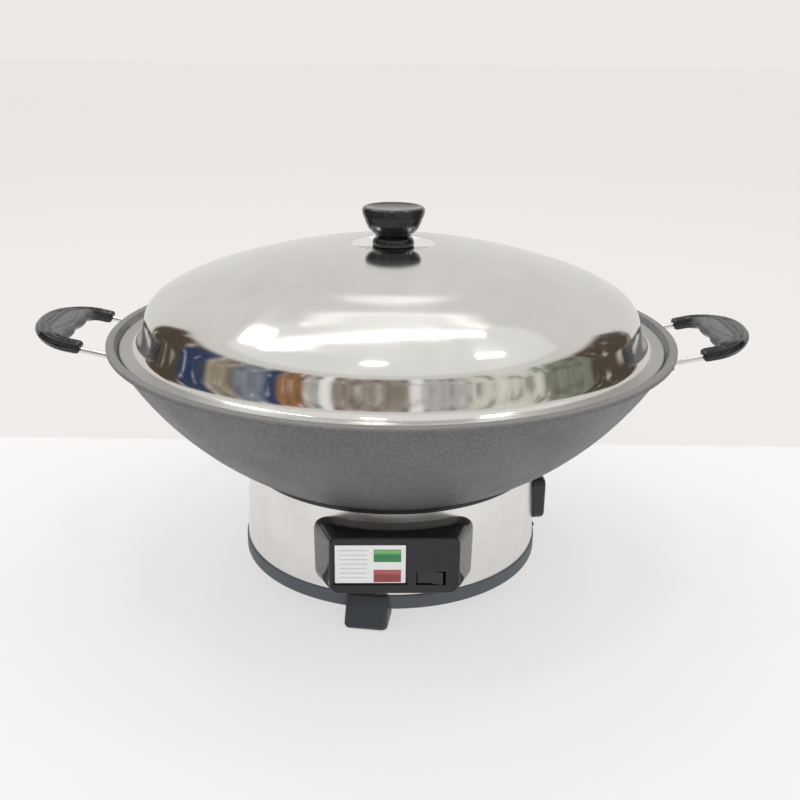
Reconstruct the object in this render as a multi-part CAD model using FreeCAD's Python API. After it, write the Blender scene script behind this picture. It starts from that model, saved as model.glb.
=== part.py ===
import FreeCAD, Part
import math
import os

from FreeCAD import Rotation, Vector

# Electric wok: a cast-iron bowl with two ear handles, clamped by one central stud onto a round steel base
# that holds a tubular heating element, a control box and a power inlet; a loose domed lid lies inside the
# rim.  Lengths are millimetres and angles degrees.  +Z is up, the origin lies on the table under the middle
# of the bowl, the front with the control box is -Y and the handles lie along X.

# Clearances
SEAT_GAP = 0.3          # between bodies that move apart, and between curved faces that seat on each other
HOLE_GAP = 0.1          # around a screw, rod or pin in its hole, and between pieces of one assembly
BEARING_GAP = 0.05      # radial running clearance of the rocker on its pin
CUT_OVERRUN = 2.0       # how far a cutting form runs past what it cuts

# Bowl
RIM_RADIUS = 190.0
RIM_HEIGHT = 168.0      # top of the rim above the table
RIM_EDGE = 2.8          # upright outer edge of the rim
RIM_ROUND = 0.7
LIP_WIDTH = 5.7         # how far the rim stands out from the wall below it
LIP_HEIGHT = 5.6        # from the rim's top to where the wall begins
BOWL_BOTTOM = 52.5      # lowest point of the bowl's outside
BOWL_WALL = 4.4         # wall at the bottom; it thins towards the rim
BOSS_RADIUS = 11.0      # cast boss for the centre stud
BOSS_HEIGHT = 6.5       # how far it reaches below the bowl
BOSS_BORE_DEPTH = 7.0

# Ear handles, set out along a line that leaves the wall below the rim and rises outwards
HANDLE_TILT = 12.0
HANDLE_ROOT_INSET = 9.0     # from the rim's edge inwards to the point where the rods' line begins
HANDLE_ROOT_DROP = 11.0     # rod's axis below the rim's top at that point
ROD_RADIUS = 2.0
ROD_SPACING = 78.0          # between the axes of the two legs of one handle
ROD_END = -3.4              # inner end of the rod, measured along the leg from its root
ROD_BEND_RADIUS = 24.0
ROD_REACH = 52.5            # root to the axis of the rod's cross bar
LUG_RADIUS = 5.0            # cast lugs that take the rod's ends
LUG_FACE = 2.5              # outer face of a lug, measured along the leg from the root
GRIP_START = 22.5           # root to the free end of the grip's legs
GRIP_LENGTH = 39.4
GRIP_WIDTH = 88.0
GRIP_HEIGHT = 9.6
GRIP_TOP = 5.7              # grip's top above the rod's axis
GRIP_LEG_WIDTH = 11.0
GRIP_LEG_STRAIGHT = 8.0     # straight stretch of the outer outline before it curves round
GRIP_BAR_WIDTH = 26.5       # from the outer edge to the tips of the finger bulges
GRIP_TOP_ROUND = 2.2
GRIP_BOTTOM_ROUND = 3.0
FINGER_PITCH = 27.0         # between the tips of the two finger bulges
FINGER_VALLEY = 2.0         # depth of the valley between them
GROOVE_LENGTH = 52.0        # oval groove on top of the grip
GROOVE_BREADTH = 19.0
GROOVE_WIDTH = 1.2
GROOVE_DEPTH = 0.7

# Steel band and the ring it stands on
BAND_BOTTOM = 20.0
BAND_FOOT_RADIUS = 103.3    # outside, at the bottom
BAND_NECK_RADIUS = BAND_FOOT_RADIUS - 2.7   # outside, at the top
BAND_SHEET = 0.8
RING_RADIUS = BAND_FOOT_RADIUS + 1.0
RING_BOTTOM = 10.0
RING_WALL = 6.0
RING_ROUND = 1.0
RING_LEDGE_WIDTH = 12.3     # from the ring's wall in to the edge of the ledge that the base plate hangs from
RING_LEDGE_RADIUS = RING_RADIUS - RING_WALL - RING_LEDGE_WIDTH
RING_LEDGE_BOTTOM = 13.0
RING_LEDGE_THICKNESS = 4.0
RING_LIP_HEIGHT = 6.0       # collar that centres the band
RING_LIP_WALL = 2.4

# Black ring that carries the bowl on the band
SEAT_DEPTH = 18.0           # how far it reaches down inside the band
SEAT_WALL = 2.0
SEAT_FLANGE_OUT = 0.5       # how far its flange stands out past the band's top edge
SEAT_FLANGE_EDGE = 2.2      # flange's thickness at its edge

# Feet
FOOT_COUNT = 3
FOOT_ANGLE = -97.4          # direction of the first foot, anticlockwise from +X
FOOT_WIDTH = 27.4
FOOT_REACH = RING_RADIUS + 11.2     # from the middle of the base to the foot's toe
FOOT_TOE_HEIGHT = 2.5
FOOT_HEEL_RADIUS = RING_RADIUS - 14.3
FOOT_SHOULDER = 1.6         # flat top of the foot beside the ring
FOOT_CORNER = 3.5
FOOT_SCREW_RADIUS = 1.75
FOOT_SCREW_HEAD_RADIUS = 3.6
FOOT_SCREW_HEAD_HEIGHT = 2.4
FOOT_SCREW_RECESS = 5.0     # how deep the screw's head sits above the table
FOOT_SCREW_LENGTH = 12.0

# Base plate and centre stud
PLATE_SHEET = 0.8
PLATE_EDGE_GAP = 1.5        # plate's edge to the ring's wall
PLATE_SLOT_WIDTH = 5.0
PLATE_SLOT_ROWS = ((60.0, 38.0, 12), (28.0, 10.0, 24))   # start and end inwards from the ledge, and count
PLATE_SCREW_RADIUS = 1.5
PLATE_SCREW_HEAD_RADIUS = 3.0
PLATE_SCREW_HEAD_HEIGHT = 1.8
PLATE_SCREW_LENGTH = 3.2
STUD_RADIUS = 3.0
STUD_BOTTOM = 5.0
NUT_ACROSS_FLATS = 10.0
NUT_HEIGHT = 5.0
WASHER_RADIUS = 9.0
WASHER_THICKNESS = 1.2

# Heating element, its clamp and the dish below it
ELEMENT_RADIUS = 60.0       # of the ring's centre line
ELEMENT_TUBE_RADIUS = 4.0
ELEMENT_GAP_ANGLE = 135.0   # direction in which the ring is open
ELEMENT_OPENING = 36.0      # angle between its two ends
ELEMENT_BEND_RADIUS = 9.0
ELEMENT_LEG_DROP = 25.0     # from the ring's centre line to the end of its sheath
ELEMENT_PIN_RADIUS = 1.4
ELEMENT_PIN_LENGTH = 13.0
CLAMP_SHEET = 1.5
CLAMP_ARM_WIDTH = 14.0
CLAMP_HUB_RADIUS = 13.0
CLAMP_ARM_COUNT = 3
CLAMP_LIP_HEIGHT = 5.0
DISH_SHEET = 0.6
DISH_FLOOR = 34.0           # height of the dish's flat
DISH_FLAT_RADIUS = ELEMENT_RADIUS + 10.0
DISH_WALL_SPREAD = 6.0      # how much wider the wall is at its top
DISH_HUB_RADIUS = 12.0
BUSH_RADIUS = 7.0
BUSH_FLANGE = 2.0
BUSH_HEIGHT = 6.0

# Over-heat limiter, fuse, terminals and leads
LIMITER_RADIUS = 7.5
LIMITER_HEIGHT = 8.0
LIMITER_OFFSET = 30.0       # from the stud to the limiter's axis
LIMITER_BLADE_OFFSET = 3.5
BRACKET_SHEET = 0.8
BRACKET_WIDTH = 9.0
BLOCK_LENGTH = 34.0
BLOCK_DEPTH = 14.0
BLOCK_HEIGHT = 9.0
BLOCK_ENTRY_HEIGHT = 4.5    # lead's axis above the base plate
LEAD_RADIUS = 1.2
LEAD_BEND_RADIUS = 6.0
LEAD_STUB_LENGTH = 6.3      # straight out of the inlet before a lead turns down beside the dish
LEAD_RUN_OUT = 14.0         # straight stretch behind the switch and in front of a terminal
LEAD_LEVEL = 25.0           # height at which the leads run round below the dish
LEAD_LOW_LEVEL = 22.0
LIVE_TURNS = ((66.0, -24.0), (46.0, -58.0))     # in plan, where the live lead turns on its way forward
SWITCHED_TURN = (12.0, -58.0)
FUSE_RUN = ((52.0, 34.0), (6.0, 50.0))          # in plan, the straight stretch that holds the fuse
FUSE_RADIUS = 2.4
FUSE_LENGTH = 18.0
EARTH_RADIUS = RING_LEDGE_RADIUS - 5.5      # earth screw's distance from the stud
EARTH_ANGLE = 40.0
EARTH_SCREW_RADIUS = 1.75
EARTH_SCREW_LENGTH = 4.0
EARTH_SCREW_HEAD_RADIUS = 3.6
EARTH_SCREW_HEAD_HEIGHT = 2.4
EARTH_TAG_SHEET = 1.0

# Control box, laid out as it is seen from the front: across, and up from the table
CONTROL_TURN = 1.8          # the base sits this far round from the handles' cross line
BOX_FACE = BAND_FOOT_RADIUS + 16.7  # distance of the front face from the middle of the base
BOX_BACK = BAND_FOOT_RADIUS - 15.3  # plane of the housing's rear outline
BOX_FACE_WIDTH = 80.0
BOX_FACE_LOW = 31.0
BOX_FACE_HIGH = 69.5
BOX_FACE_CORNER = 6.0
BOX_BACK_WIDTH = 102.0
BOX_BACK_LOW = 20.6
BOX_BACK_HIGH = 70.5
BOX_BACK_CORNER = 11.0
BOX_WALL = 2.6
BOX_EDGE_ROUND = 1.3
BOX_PILLAR_OFFSET = 38.5
BOX_PILLAR_RADIUS = 3.6
BOX_SCREW_HEIGHT = 45.0
BOX_SCREW_RADIUS = 1.6
BOX_SCREW_LENGTH = 12.0
BOX_SCREW_HEAD_RADIUS = 3.2
BOX_SCREW_HEAD_HEIGHT = 2.2
LABEL_CENTRE = (-14.9, 51.0)
LABEL_WIDTH = 43.5
LABEL_HEIGHT = 26.0
LABEL_SHEET = 0.8
LABEL_RECESS = 1.6
LABEL_MARGIN = 1.3
LENS_ACROSS = -4.4          # middle of both lenses
GREEN_LENS_HEIGHT = 56.9
RED_LENS_HEIGHT = 42.9
LENS_WIDTH = 16.6
LENS_TALL = 8.3
LENS_PROUD = 0.5            # how far a lens stands out of the label
LENS_FLANGE = 1.2
LENS_DEPTH = 7.0
LENS_WALL = 1.2

# Rocker switch
SWITCH_CENTRE = (22.7, 41.5)
SWITCH_WIDTH = 18.4
SWITCH_TALL = 9.5
SWITCH_BODY_DEPTH = 16.0
SWITCH_BODY_WALL = 2.0
SWITCH_WELL_MARGIN = 0.2    # well inside the opening's edge, all round
SWITCH_WELL_DEPTH = 11.0
PADDLE_HALF_WIDTH = 8.0
PADDLE_SIDE_GAP = 0.3
PADDLE_END_RISE = 4.3       # paddle's ends above its pivot
PADDLE_MIDDLE_RISE = 3.3
PADDLE_NOSE_DROP = 5.0
PADDLE_THROW = 9.0          # tilt either side of level
PIVOT_DEPTH = 4.6           # pivot behind the front face
PIVOT_RADIUS = 1.0
TAB_WIDTH = 4.8
TAB_SHEET = 0.8
TAB_LENGTH = 7.0
TAB_SPACING = 10.0

# Power inlet, laid out facing +X before it is turned to its place
INLET_ANGLE = 5.6
INLET_FACE = BAND_FOOT_RADIUS + 6.5     # distance of its outer face from the middle of the base
INLET_HEIGHT = 44.2         # height of its middle
INLET_FLANGE_WIDTH = 44.0
INLET_FLANGE_TALL = 33.0
INLET_FLANGE_CORNER = 7.0
INLET_DRAFT = 1.0           # how much smaller the flange is at its face, each way
INLET_BODY_WIDTH = 27.0
INLET_BODY_TALL = 20.0
INLET_BODY_BACK = BAND_FOOT_RADIUS - 15.3
INLET_EDGE_ROUND = 2.5
SOCKET_WIDTH = 24.0
SOCKET_TALL = 16.4
SOCKET_CHAMFER = 4.5
SOCKET_DEPTH = 17.0
INLET_PIN_WIDTH = 2.0
INLET_PIN_TALL = 4.0
INLET_PIN_SPACING = 14.0
INLET_EARTH_RISE = 4.0      # earth pin above the other two
INLET_PIN_INSET = 2.5       # pin's tip behind the face
INLET_PIN_TAIL = 6.0        # how far the pins stand out behind the body
INLET_SCREW_SPACING = 33.4
INLET_SCREW_RADIUS = 1.5
INLET_SCREW_HEAD_RADIUS = 2.6
INLET_SCREW_LENGTH = 15.0
INLET_NUT_ACROSS_FLATS = 5.2
INLET_NUT_HEIGHT = 2.0

# Lid
LID_SHEET = 0.8
LID_BEAD_RADIUS = 1.2       # rolled edge
LID_INSET = 9.1             # from the rim's outer edge in to the middle of the lid's rolled edge
LID_FLANGE_WIDTH = 7.3      # from there in to the foot of the skirt
LID_FLANGE_RISE = 1.6       # foot of the skirt above the rolled edge's middle
LID_SKIRT_HOLLOW = 8.4      # how far the skirt curves in from its foot to where the dome begins
LID_SKIRT_HEIGHT = 16.4     # from the flange up to where the dome begins
LID_SKIRT_LEAN = 12.0       # degrees from upright where skirt and dome meet
LID_DOME_RISE = 45.3        # from there to the plateau around the knob
LID_DOME_POINTS = ((4.1, 8.1), (15.2, 15.9), (41.5, 26.4), (74.6, 35.5), (109.1, 42.7))   # inwards and up
LID_PLATEAU_RADIUS = 27.0
KNOB_SEAT_DEPTH = 1.6       # sunk seat for the knob

# Knob
COLLAR_RADIUS = 13.9
COLLAR_TOP_RADIUS = 12.8
COLLAR_HEIGHT = 5.4
KNOB_HEIGHT = 20.3          # from the collar to the top of its edge
KNOB_FLANK_POINTS = ((10.4, 0.5), (12.6, 1.9), (15.6, 4.9), (17.6, 8.2), (19.0, 11.6), (20.8, 17.9))
KNOB_EDGE_ROUND = 2.4
KNOB_DISH_DEPTH = 1.8
INSERT_RADIUS = 4.0
INSERT_LENGTH = 12.0
LID_SCREW_RADIUS = 2.4
LID_SCREW_REACH = 9.0       # how far it goes into the insert
LID_SCREW_HEAD_RADIUS = 4.8
LID_SCREW_HEAD_HEIGHT = 2.8
LID_WASHER_RADIUS = 7.0
LID_WASHER_THICKNESS = 1.0

UP = Vector(0, 0, 1)
ORIGIN = Vector(0, 0, 0)


# General shapes ---------------------------------------------------------------------------------------

def save(shape, name):
    shape.exportStep(os.path.join("parts", name + ".step"))


def point(radius, height):
    """A point of a section, in the plane through the axis."""
    return Vector(radius, 0, height)


def line(start, end):
    return Part.LineSegment(start, end).toShape()


def arc(start, middle, end):
    return Part.Arc(start, middle, end).toShape()


def polygon(corners):
    return Part.Face(Part.Wire([line(a, b) for a, b in zip(corners, corners[1:] + corners[:1])]))


def spin(face):
    return face.revolve(ORIGIN, UP, 360)


def spin_polygon(corners):
    return spin(polygon([point(radius, height) for radius, height in corners]))


def disc(radius, bottom, height, bore=0.0):
    shape = Part.makeCylinder(radius, height, Vector(0, 0, bottom))
    if bore:
        shape = shape.cut(Part.makeCylinder(bore, height, Vector(0, 0, bottom)))
    return shape


def block(low, high):
    low = Vector(*low)
    size = Vector(*high) - low
    return Part.makeBox(size.x, size.y, size.z, low)


def turn(shape, angle):
    """The shape turned about the vertical axis."""
    return shape.rotated(ORIGIN, UP, angle)


def turned_point(x, y, z, angle):
    return Rotation(UP, angle).multVec(Vector(x, y, z))


def around(shape, count, first=0.0):
    """Copies of the shape at even steps about the vertical axis."""
    return [turn(shape, first + 360.0 * index / count) for index in range(count)]


def at_radius(shape, radius):
    return shape.translated(Vector(radius, 0, 0))


def hexagon(across_flats, centre, axis_point, height):
    """A hexagonal prism from its centre along the direction to axis_point."""
    corner = across_flats / math.sqrt(3)
    corners = [Vector(corner * math.cos(math.radians(60 * k)), corner * math.sin(math.radians(60 * k)), 0)
               for k in range(6)]
    prism = polygon(corners).extrude(UP * height)
    prism.Placement = FreeCAD.Placement(centre, Rotation(UP, axis_point - centre))
    return prism


def rounded_outline(width, low, high, corner, to_space):
    """A rounded rectangle, centred across and from low to high; to_space places its flat points."""
    side = width / 2
    inset = corner * (1 - math.sqrt(0.5))
    arcs = []
    ends = []
    for across, up in ((1, 1), (-1, 1), (-1, -1), (1, -1)):
        cap = high if up > 0 else low
        on_side = to_space(across * side, cap - up * corner)
        on_cap = to_space(across * (side - corner), cap)
        middle = to_space(across * (side - inset), cap - up * inset)
        first, last = (on_side, on_cap) if across * up > 0 else (on_cap, on_side)
        arcs.append(arc(first, middle, last))
        ends.append((first, last))
    joins = [line(ends[k][1], ends[(k + 1) % 4][0]) for k in range(4)]
    return Part.Wire([edge for pair in zip(arcs, joins) for edge in pair])


def rounded_path(points, bend):
    """Straight runs through the points, joined by tangent arcs."""
    edges = []
    start = points[0]
    for before, corner, after in zip(points, points[1:], points[2:]):
        back = (before - corner).normalize()
        onward = (after - corner).normalize()
        half = back.getAngle(onward) / 2
        setback = bend / math.tan(half)
        entry = corner + back * setback
        leave = corner + onward * setback
        middle = corner + (back + onward).normalize() * (bend / math.sin(half) - bend)
        edges += [line(start, entry), arc(entry, middle, leave)]
        start = leave
    edges.append(line(start, points[-1]))
    return Part.Wire(edges)


def pipe(path, radius):
    """A round bar along a smooth path."""
    first = path.Edges[0]
    section = Part.Circle(first.valueAt(first.FirstParameter), first.tangentAt(first.FirstParameter), radius)
    return path.makePipeShell([Part.Wire(section.toShape())], True, False)


# Bowl -------------------------------------------------------------------------------------------------

NECK_RADIUS = RIM_RADIUS - LIP_WIDTH
NECK_HEIGHT = RIM_HEIGHT - LIP_HEIGHT
BOWL_CURVE = (NECK_RADIUS ** 2 + (NECK_HEIGHT - BOWL_BOTTOM) ** 2) / (2 * (NECK_HEIGHT - BOWL_BOTTOM))
OUTER_CENTRE = BOWL_BOTTOM + BOWL_CURVE
INNER_CENTRE = OUTER_CENTRE + BOWL_WALL
BOSS_FACE = BOWL_BOTTOM - BOSS_HEIGHT


def bowl_outside(radius, gap=0.0):
    """Height of the bowl's outer face, or of a face a gap outside it."""
    return OUTER_CENTRE - math.sqrt((BOWL_CURVE + gap) ** 2 - radius ** 2)


def bowl_inside(radius):
    return INNER_CENTRE - math.sqrt(BOWL_CURVE ** 2 - radius ** 2)


def inner_ball():
    """The space inside the bowl's wall, up to the rim."""
    ball = Part.makeSphere(BOWL_CURVE, Vector(0, 0, INNER_CENTRE))
    return ball.common(disc(RIM_RADIUS, BOWL_BOTTOM, RIM_HEIGHT - BOWL_BOTTOM))


def on_handle(shape, side):
    """Places a shape laid out with x along the leg, y across and z up at the bowl's right or left."""
    placed = shape.rotated(ORIGIN, Vector(0, 1, 0), -HANDLE_TILT)
    placed = placed.translated(Vector(RIM_RADIUS - HANDLE_ROOT_INSET, 0, RIM_HEIGHT - HANDLE_ROOT_DROP))
    return placed if side > 0 else turn(placed, 180)


def leg_bar(radius, start, end, leg):
    """A round bar on the axis of one leg of a handle rod."""
    return Part.makeCylinder(radius, end - start, Vector(start, leg * ROD_SPACING / 2, 0), Vector(1, 0, 0))


def bowl_shell():
    rim_inside = math.sqrt(BOWL_CURVE ** 2 - (INNER_CENTRE - RIM_HEIGHT) ** 2)
    neck = point(NECK_RADIUS, NECK_HEIGHT)
    edge_low = point(RIM_RADIUS, RIM_HEIGHT - RIM_EDGE)
    edge_high = point(RIM_RADIUS, RIM_HEIGHT)
    lip = point(rim_inside, RIM_HEIGHT)
    outer_bottom = point(0, BOWL_BOTTOM)
    inner_bottom = point(0, BOWL_BOTTOM + BOWL_WALL)
    shell = spin(Part.Face(Part.Wire([
        arc(outer_bottom, point(NECK_RADIUS / 2, bowl_outside(NECK_RADIUS / 2)), neck),
        line(neck, edge_low), line(edge_low, edge_high), line(edge_high, lip),
        arc(lip, point(rim_inside / 2, bowl_inside(rim_inside / 2)), inner_bottom),
        line(inner_bottom, outer_bottom)])))
    rim_edges = [edge for edge in shell.Edges
                 if edge.BoundBox.XMax > RIM_RADIUS - 0.01 and edge.BoundBox.ZLength < 0.01]
    return shell.makeFillet(RIM_ROUND, rim_edges)


def wok_bowl():
    bowl = bowl_shell().fuse(disc(BOSS_RADIUS, BOSS_FACE, BOSS_HEIGHT + BOWL_WALL / 2))
    bowl = bowl.cut(disc(STUD_RADIUS, BOSS_FACE, BOSS_BORE_DEPTH))
    inside = inner_ball()
    places = [(side, leg) for side in (1, -1) for leg in (1, -1)]
    lugs = [on_handle(leg_bar(LUG_RADIUS, ROD_END - LUG_RADIUS, LUG_FACE, leg), side).cut(inside)
            for side, leg in places]
    bores = [on_handle(leg_bar(ROD_RADIUS + HOLE_GAP, ROD_END - HOLE_GAP, LUG_FACE + CUT_OVERRUN, leg), side)
             for side, leg in places]
    return bowl.multiFuse(lugs).cut(Part.makeCompound(bores))


# Ear handles ------------------------------------------------------------------------------------------

def rod_path():
    leg = ROD_SPACING / 2
    return rounded_path([Vector(ROD_END, -leg, 0), Vector(ROD_REACH, -leg, 0), Vector(ROD_REACH, leg, 0),
                         Vector(ROD_END, leg, 0)], ROD_BEND_RADIUS)


def half_ellipse(middle, half, reach):
    """The half of an ellipse that lies beyond its middle line, in plan."""
    centre = Vector(middle, 0, 0)
    side = Vector(middle, half, 0)
    tip = Vector(middle + reach, 0, 0)
    if half >= reach:
        return Part.Ellipse(side, tip, centre).toShape(0, math.pi)
    return Part.Ellipse(tip, side, centre).toShape(-math.pi / 2, math.pi / 2)


def finger_edge(start, half, tip):
    """The grip's inner edge: two finger bulges with a valley between them."""
    finger = FINGER_PITCH / 2
    outer = [Vector(start, half, 0), Vector(tip + FINGER_VALLEY / 2, 2 * finger, 0), Vector(tip, finger, 0)]
    mirrored = [Vector(p.x, -p.y, 0) for p in reversed(outer)]
    curve = Part.BSplineCurve()
    curve.interpolate(Points=outer + [Vector(tip + FINGER_VALLEY, 0, 0)] + mirrored,
                      InitialTangent=Vector(1, 0, 0), FinalTangent=Vector(-1, 0, 0), Scale=False)
    return curve.toShape()


def grip_plan():
    half = GRIP_WIDTH / 2
    inner = half - GRIP_LEG_WIDTH
    curve_start = GRIP_START + GRIP_LEG_STRAIGHT
    end = GRIP_START + GRIP_LENGTH
    return Part.Face(Part.Wire([
        line(Vector(GRIP_START, half, 0), Vector(curve_start, half, 0)),
        half_ellipse(curve_start, half, end - curve_start),
        line(Vector(curve_start, -half, 0), Vector(GRIP_START, -half, 0)),
        line(Vector(GRIP_START, -half, 0), Vector(GRIP_START, -inner, 0)),
        line(Vector(GRIP_START, -inner, 0), Vector(curve_start, -inner, 0)),
        finger_edge(curve_start, inner, end - GRIP_BAR_WIDTH),
        line(Vector(curve_start, inner, 0), Vector(GRIP_START, inner, 0)),
        line(Vector(GRIP_START, inner, 0), Vector(GRIP_START, half, 0))]))


def grip_groove():
    """An oval ring to be cut into the grip's top."""
    centre = Vector(GRIP_START + GRIP_LENGTH - GRIP_BAR_WIDTH / 2, 0, GRIP_TOP - GROOVE_DEPTH)
    ovals = []
    for inset in (0.0, GROOVE_WIDTH):
        along = centre + Vector(0, GROOVE_LENGTH / 2 - inset, 0)
        aside = centre + Vector(GROOVE_BREADTH / 2 - inset, 0, 0)
        outline = Part.Wire(Part.Ellipse(along, aside, centre).toShape())
        ovals.append(Part.Face(outline).extrude(UP * (GROOVE_DEPTH + CUT_OVERRUN)))
    return ovals[0].cut(ovals[1])


def grip():
    bottom = GRIP_TOP - GRIP_HEIGHT
    body = grip_plan().extrude(UP * GRIP_HEIGHT).translated(UP * bottom)
    top_edges = [edge for edge in body.Edges if edge.BoundBox.ZMin > GRIP_TOP - 0.01]
    body = body.makeFillet(GRIP_TOP_ROUND, top_edges)
    under_edges = [edge for edge in body.Edges if edge.BoundBox.ZMax < bottom + 0.01]
    body = body.makeFillet(GRIP_BOTTOM_ROUND, under_edges)
    return body.cut(grip_groove()).cut(pipe(rod_path(), ROD_RADIUS + HOLE_GAP))


def save_handles():
    rod = pipe(rod_path(), ROD_RADIUS)
    handle = grip()
    for side, name in ((1, "right"), (-1, "left")):
        save(on_handle(rod, side), name + "_handle_rod")
        save(on_handle(handle, side), name + "_grip")


# Band, ring and seat ----------------------------------------------------------------------------------

# The band ends where the flange of the black ring fits between it and the bowl
BAND_TOP = bowl_outside(BAND_NECK_RADIUS + SEAT_FLANGE_OUT, SEAT_GAP) - SEAT_FLANGE_EDGE


def band_radius(height):
    """Outside of the band at a height."""
    share = (height - BAND_BOTTOM) / (BAND_TOP - BAND_BOTTOM)
    return BAND_FOOT_RADIUS + (BAND_NECK_RADIUS - BAND_FOOT_RADIUS) * share


def band_form(grow=0.0):
    """The band's outer form as a solid cone, taken a little beyond both ends."""
    low = BAND_BOTTOM - CUT_OVERRUN
    high = BAND_TOP + CUT_OVERRUN
    return Part.makeCone(band_radius(low) + grow, band_radius(high) + grow, high - low, Vector(0, 0, low))


def base_band():
    start = Vector(0, 0, BAND_BOTTOM)
    shell = Part.makeCone(BAND_FOOT_RADIUS, BAND_NECK_RADIUS, BAND_TOP - BAND_BOTTOM, start)
    shell = shell.cut(band_form(-BAND_SHEET))
    clear_of_pillars = BOX_PILLAR_OFFSET - BOX_PILLAR_RADIUS - HOLE_GAP
    wiring = block((-clear_of_pillars, -BOX_FACE, BOX_FACE_LOW),
                   (clear_of_pillars, -BOX_BACK, BOX_FACE_HIGH - BOX_FACE_CORNER))
    front_cuts = [wiring] + box_pillars(BOX_SCREW_RADIUS + HOLE_GAP, 0, BOX_FACE / 2)
    half_wide = INLET_BODY_WIDTH / 2 + HOLE_GAP
    half_tall = INLET_BODY_TALL / 2 + HOLE_GAP
    side_cuts = [block((INLET_BODY_BACK, -half_wide, INLET_HEIGHT - half_tall),
                       (INLET_FACE, half_wide, INLET_HEIGHT + half_tall))]
    side_cuts += inlet_screw_bars(INLET_SCREW_RADIUS + HOLE_GAP, INLET_BODY_BACK, INLET_FACE)
    shell = shell.cut(turn(Part.makeCompound(front_cuts), CONTROL_TURN))
    return shell.cut(turn(Part.makeCompound(side_cuts), INLET_ANGLE))


def foot_screw_track():
    return RING_RADIUS - RING_WALL / 2


def plate_radius():
    return RING_RADIUS - RING_WALL - PLATE_EDGE_GAP


def plate_screw_track():
    return (RING_LEDGE_RADIUS + plate_radius()) / 2


def base_ring():
    wall_inside = RING_RADIUS - RING_WALL
    ledge_top = RING_LEDGE_BOTTOM + RING_LEDGE_THICKNESS
    lip_top = BAND_BOTTOM + RING_LIP_HEIGHT
    lip_outside = band_radius(lip_top) - BAND_SHEET - HOLE_GAP
    lip_inside = lip_outside - RING_LIP_WALL
    ring = spin_polygon([
        (wall_inside, RING_BOTTOM), (RING_RADIUS, RING_BOTTOM), (RING_RADIUS, BAND_BOTTOM),
        (lip_outside, BAND_BOTTOM), (lip_outside, lip_top), (lip_inside, lip_top), (lip_inside, ledge_top),
        (RING_LEDGE_RADIUS, ledge_top), (RING_LEDGE_RADIUS, RING_LEDGE_BOTTOM),
        (wall_inside, RING_LEDGE_BOTTOM)])
    outer_edges = [edge for edge in ring.Edges
                   if edge.BoundBox.XMax > RING_RADIUS - 0.01 and edge.BoundBox.ZLength < 0.01]
    ring = ring.makeFillet(RING_ROUND, outer_edges)
    foot_hole = disc(FOOT_SCREW_RADIUS, RING_BOTTOM, FOOT_SCREW_RECESS + FOOT_SCREW_LENGTH - RING_BOTTOM)
    plate_hole = disc(PLATE_SCREW_RADIUS, RING_LEDGE_BOTTOM, PLATE_SCREW_LENGTH)
    holes = around(at_radius(foot_hole, foot_screw_track()), FOOT_COUNT, FOOT_ANGLE)
    holes += around(at_radius(plate_hole, plate_screw_track()), FOOT_COUNT, FOOT_ANGLE + 180.0 / FOOT_COUNT)
    return ring.cut(Part.makeCompound(holes))


def seat_ring():
    """The flange's top follows the bowl; the wall hangs inside the band."""
    wall_outside = BAND_NECK_RADIUS - BAND_SHEET - SEAT_GAP
    wall_inside = wall_outside - SEAT_WALL
    flange = BAND_NECK_RADIUS + SEAT_FLANGE_OUT
    middle = (flange + wall_inside) / 2
    low_inside = point(wall_inside, BAND_TOP - SEAT_DEPTH)
    low_outside = point(wall_outside, BAND_TOP - SEAT_DEPTH)
    under_flange = point(wall_outside, BAND_TOP)
    flange_edge = point(flange, BAND_TOP)
    outer_top = point(flange, bowl_outside(flange, SEAT_GAP))
    inner_top = point(wall_inside, bowl_outside(wall_inside, SEAT_GAP))
    return spin(Part.Face(Part.Wire([
        line(low_inside, low_outside), line(low_outside, under_flange), line(under_flange, flange_edge),
        line(flange_edge, outer_top),
        arc(outer_top, point(middle, bowl_outside(middle, SEAT_GAP)), inner_top),
        line(inner_top, low_inside)])))


# Feet, base plate and stud ----------------------------------------------------------------------------

def foot():
    """A flat-fronted foot laid out towards +X: it hugs the ring outside and carries it from below."""
    half = FOOT_WIDTH / 2
    section = [(FOOT_HEEL_RADIUS, 0), (FOOT_REACH - FOOT_TOE_HEIGHT, 0), (FOOT_REACH, FOOT_TOE_HEIGHT),
               (RING_RADIUS + FOOT_SHOULDER, BAND_BOTTOM), (FOOT_HEEL_RADIUS, BAND_BOTTOM)]
    side_face = polygon([Vector(reach, -half, height) for reach, height in section])
    body = side_face.extrude(Vector(0, FOOT_WIDTH, 0))
    corner_edges = [edge for edge in body.Edges
                    if edge.BoundBox.YLength < 0.01 and edge.BoundBox.XMax > FOOT_REACH - 0.01]
    body = body.makeFillet(FOOT_CORNER, corner_edges)
    body = body.cut(disc(RING_RADIUS + HOLE_GAP, RING_BOTTOM, BAND_BOTTOM))
    shank = disc(FOOT_SCREW_RADIUS + HOLE_GAP, 0, RING_BOTTOM)
    recess = disc(FOOT_SCREW_HEAD_RADIUS + SEAT_GAP, 0, FOOT_SCREW_RECESS)
    return body.cut(at_radius(shank.fuse(recess), foot_screw_track()))


def foot_screws():
    head = disc(FOOT_SCREW_HEAD_RADIUS, FOOT_SCREW_RECESS - FOOT_SCREW_HEAD_HEIGHT, FOOT_SCREW_HEAD_HEIGHT)
    shank = disc(FOOT_SCREW_RADIUS, FOOT_SCREW_RECESS, FOOT_SCREW_LENGTH)
    return Part.makeCompound(around(at_radius(head.fuse(shank), foot_screw_track()), FOOT_COUNT, FOOT_ANGLE))


PLATE_BOTTOM = RING_LEDGE_BOTTOM - PLATE_SHEET


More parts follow.
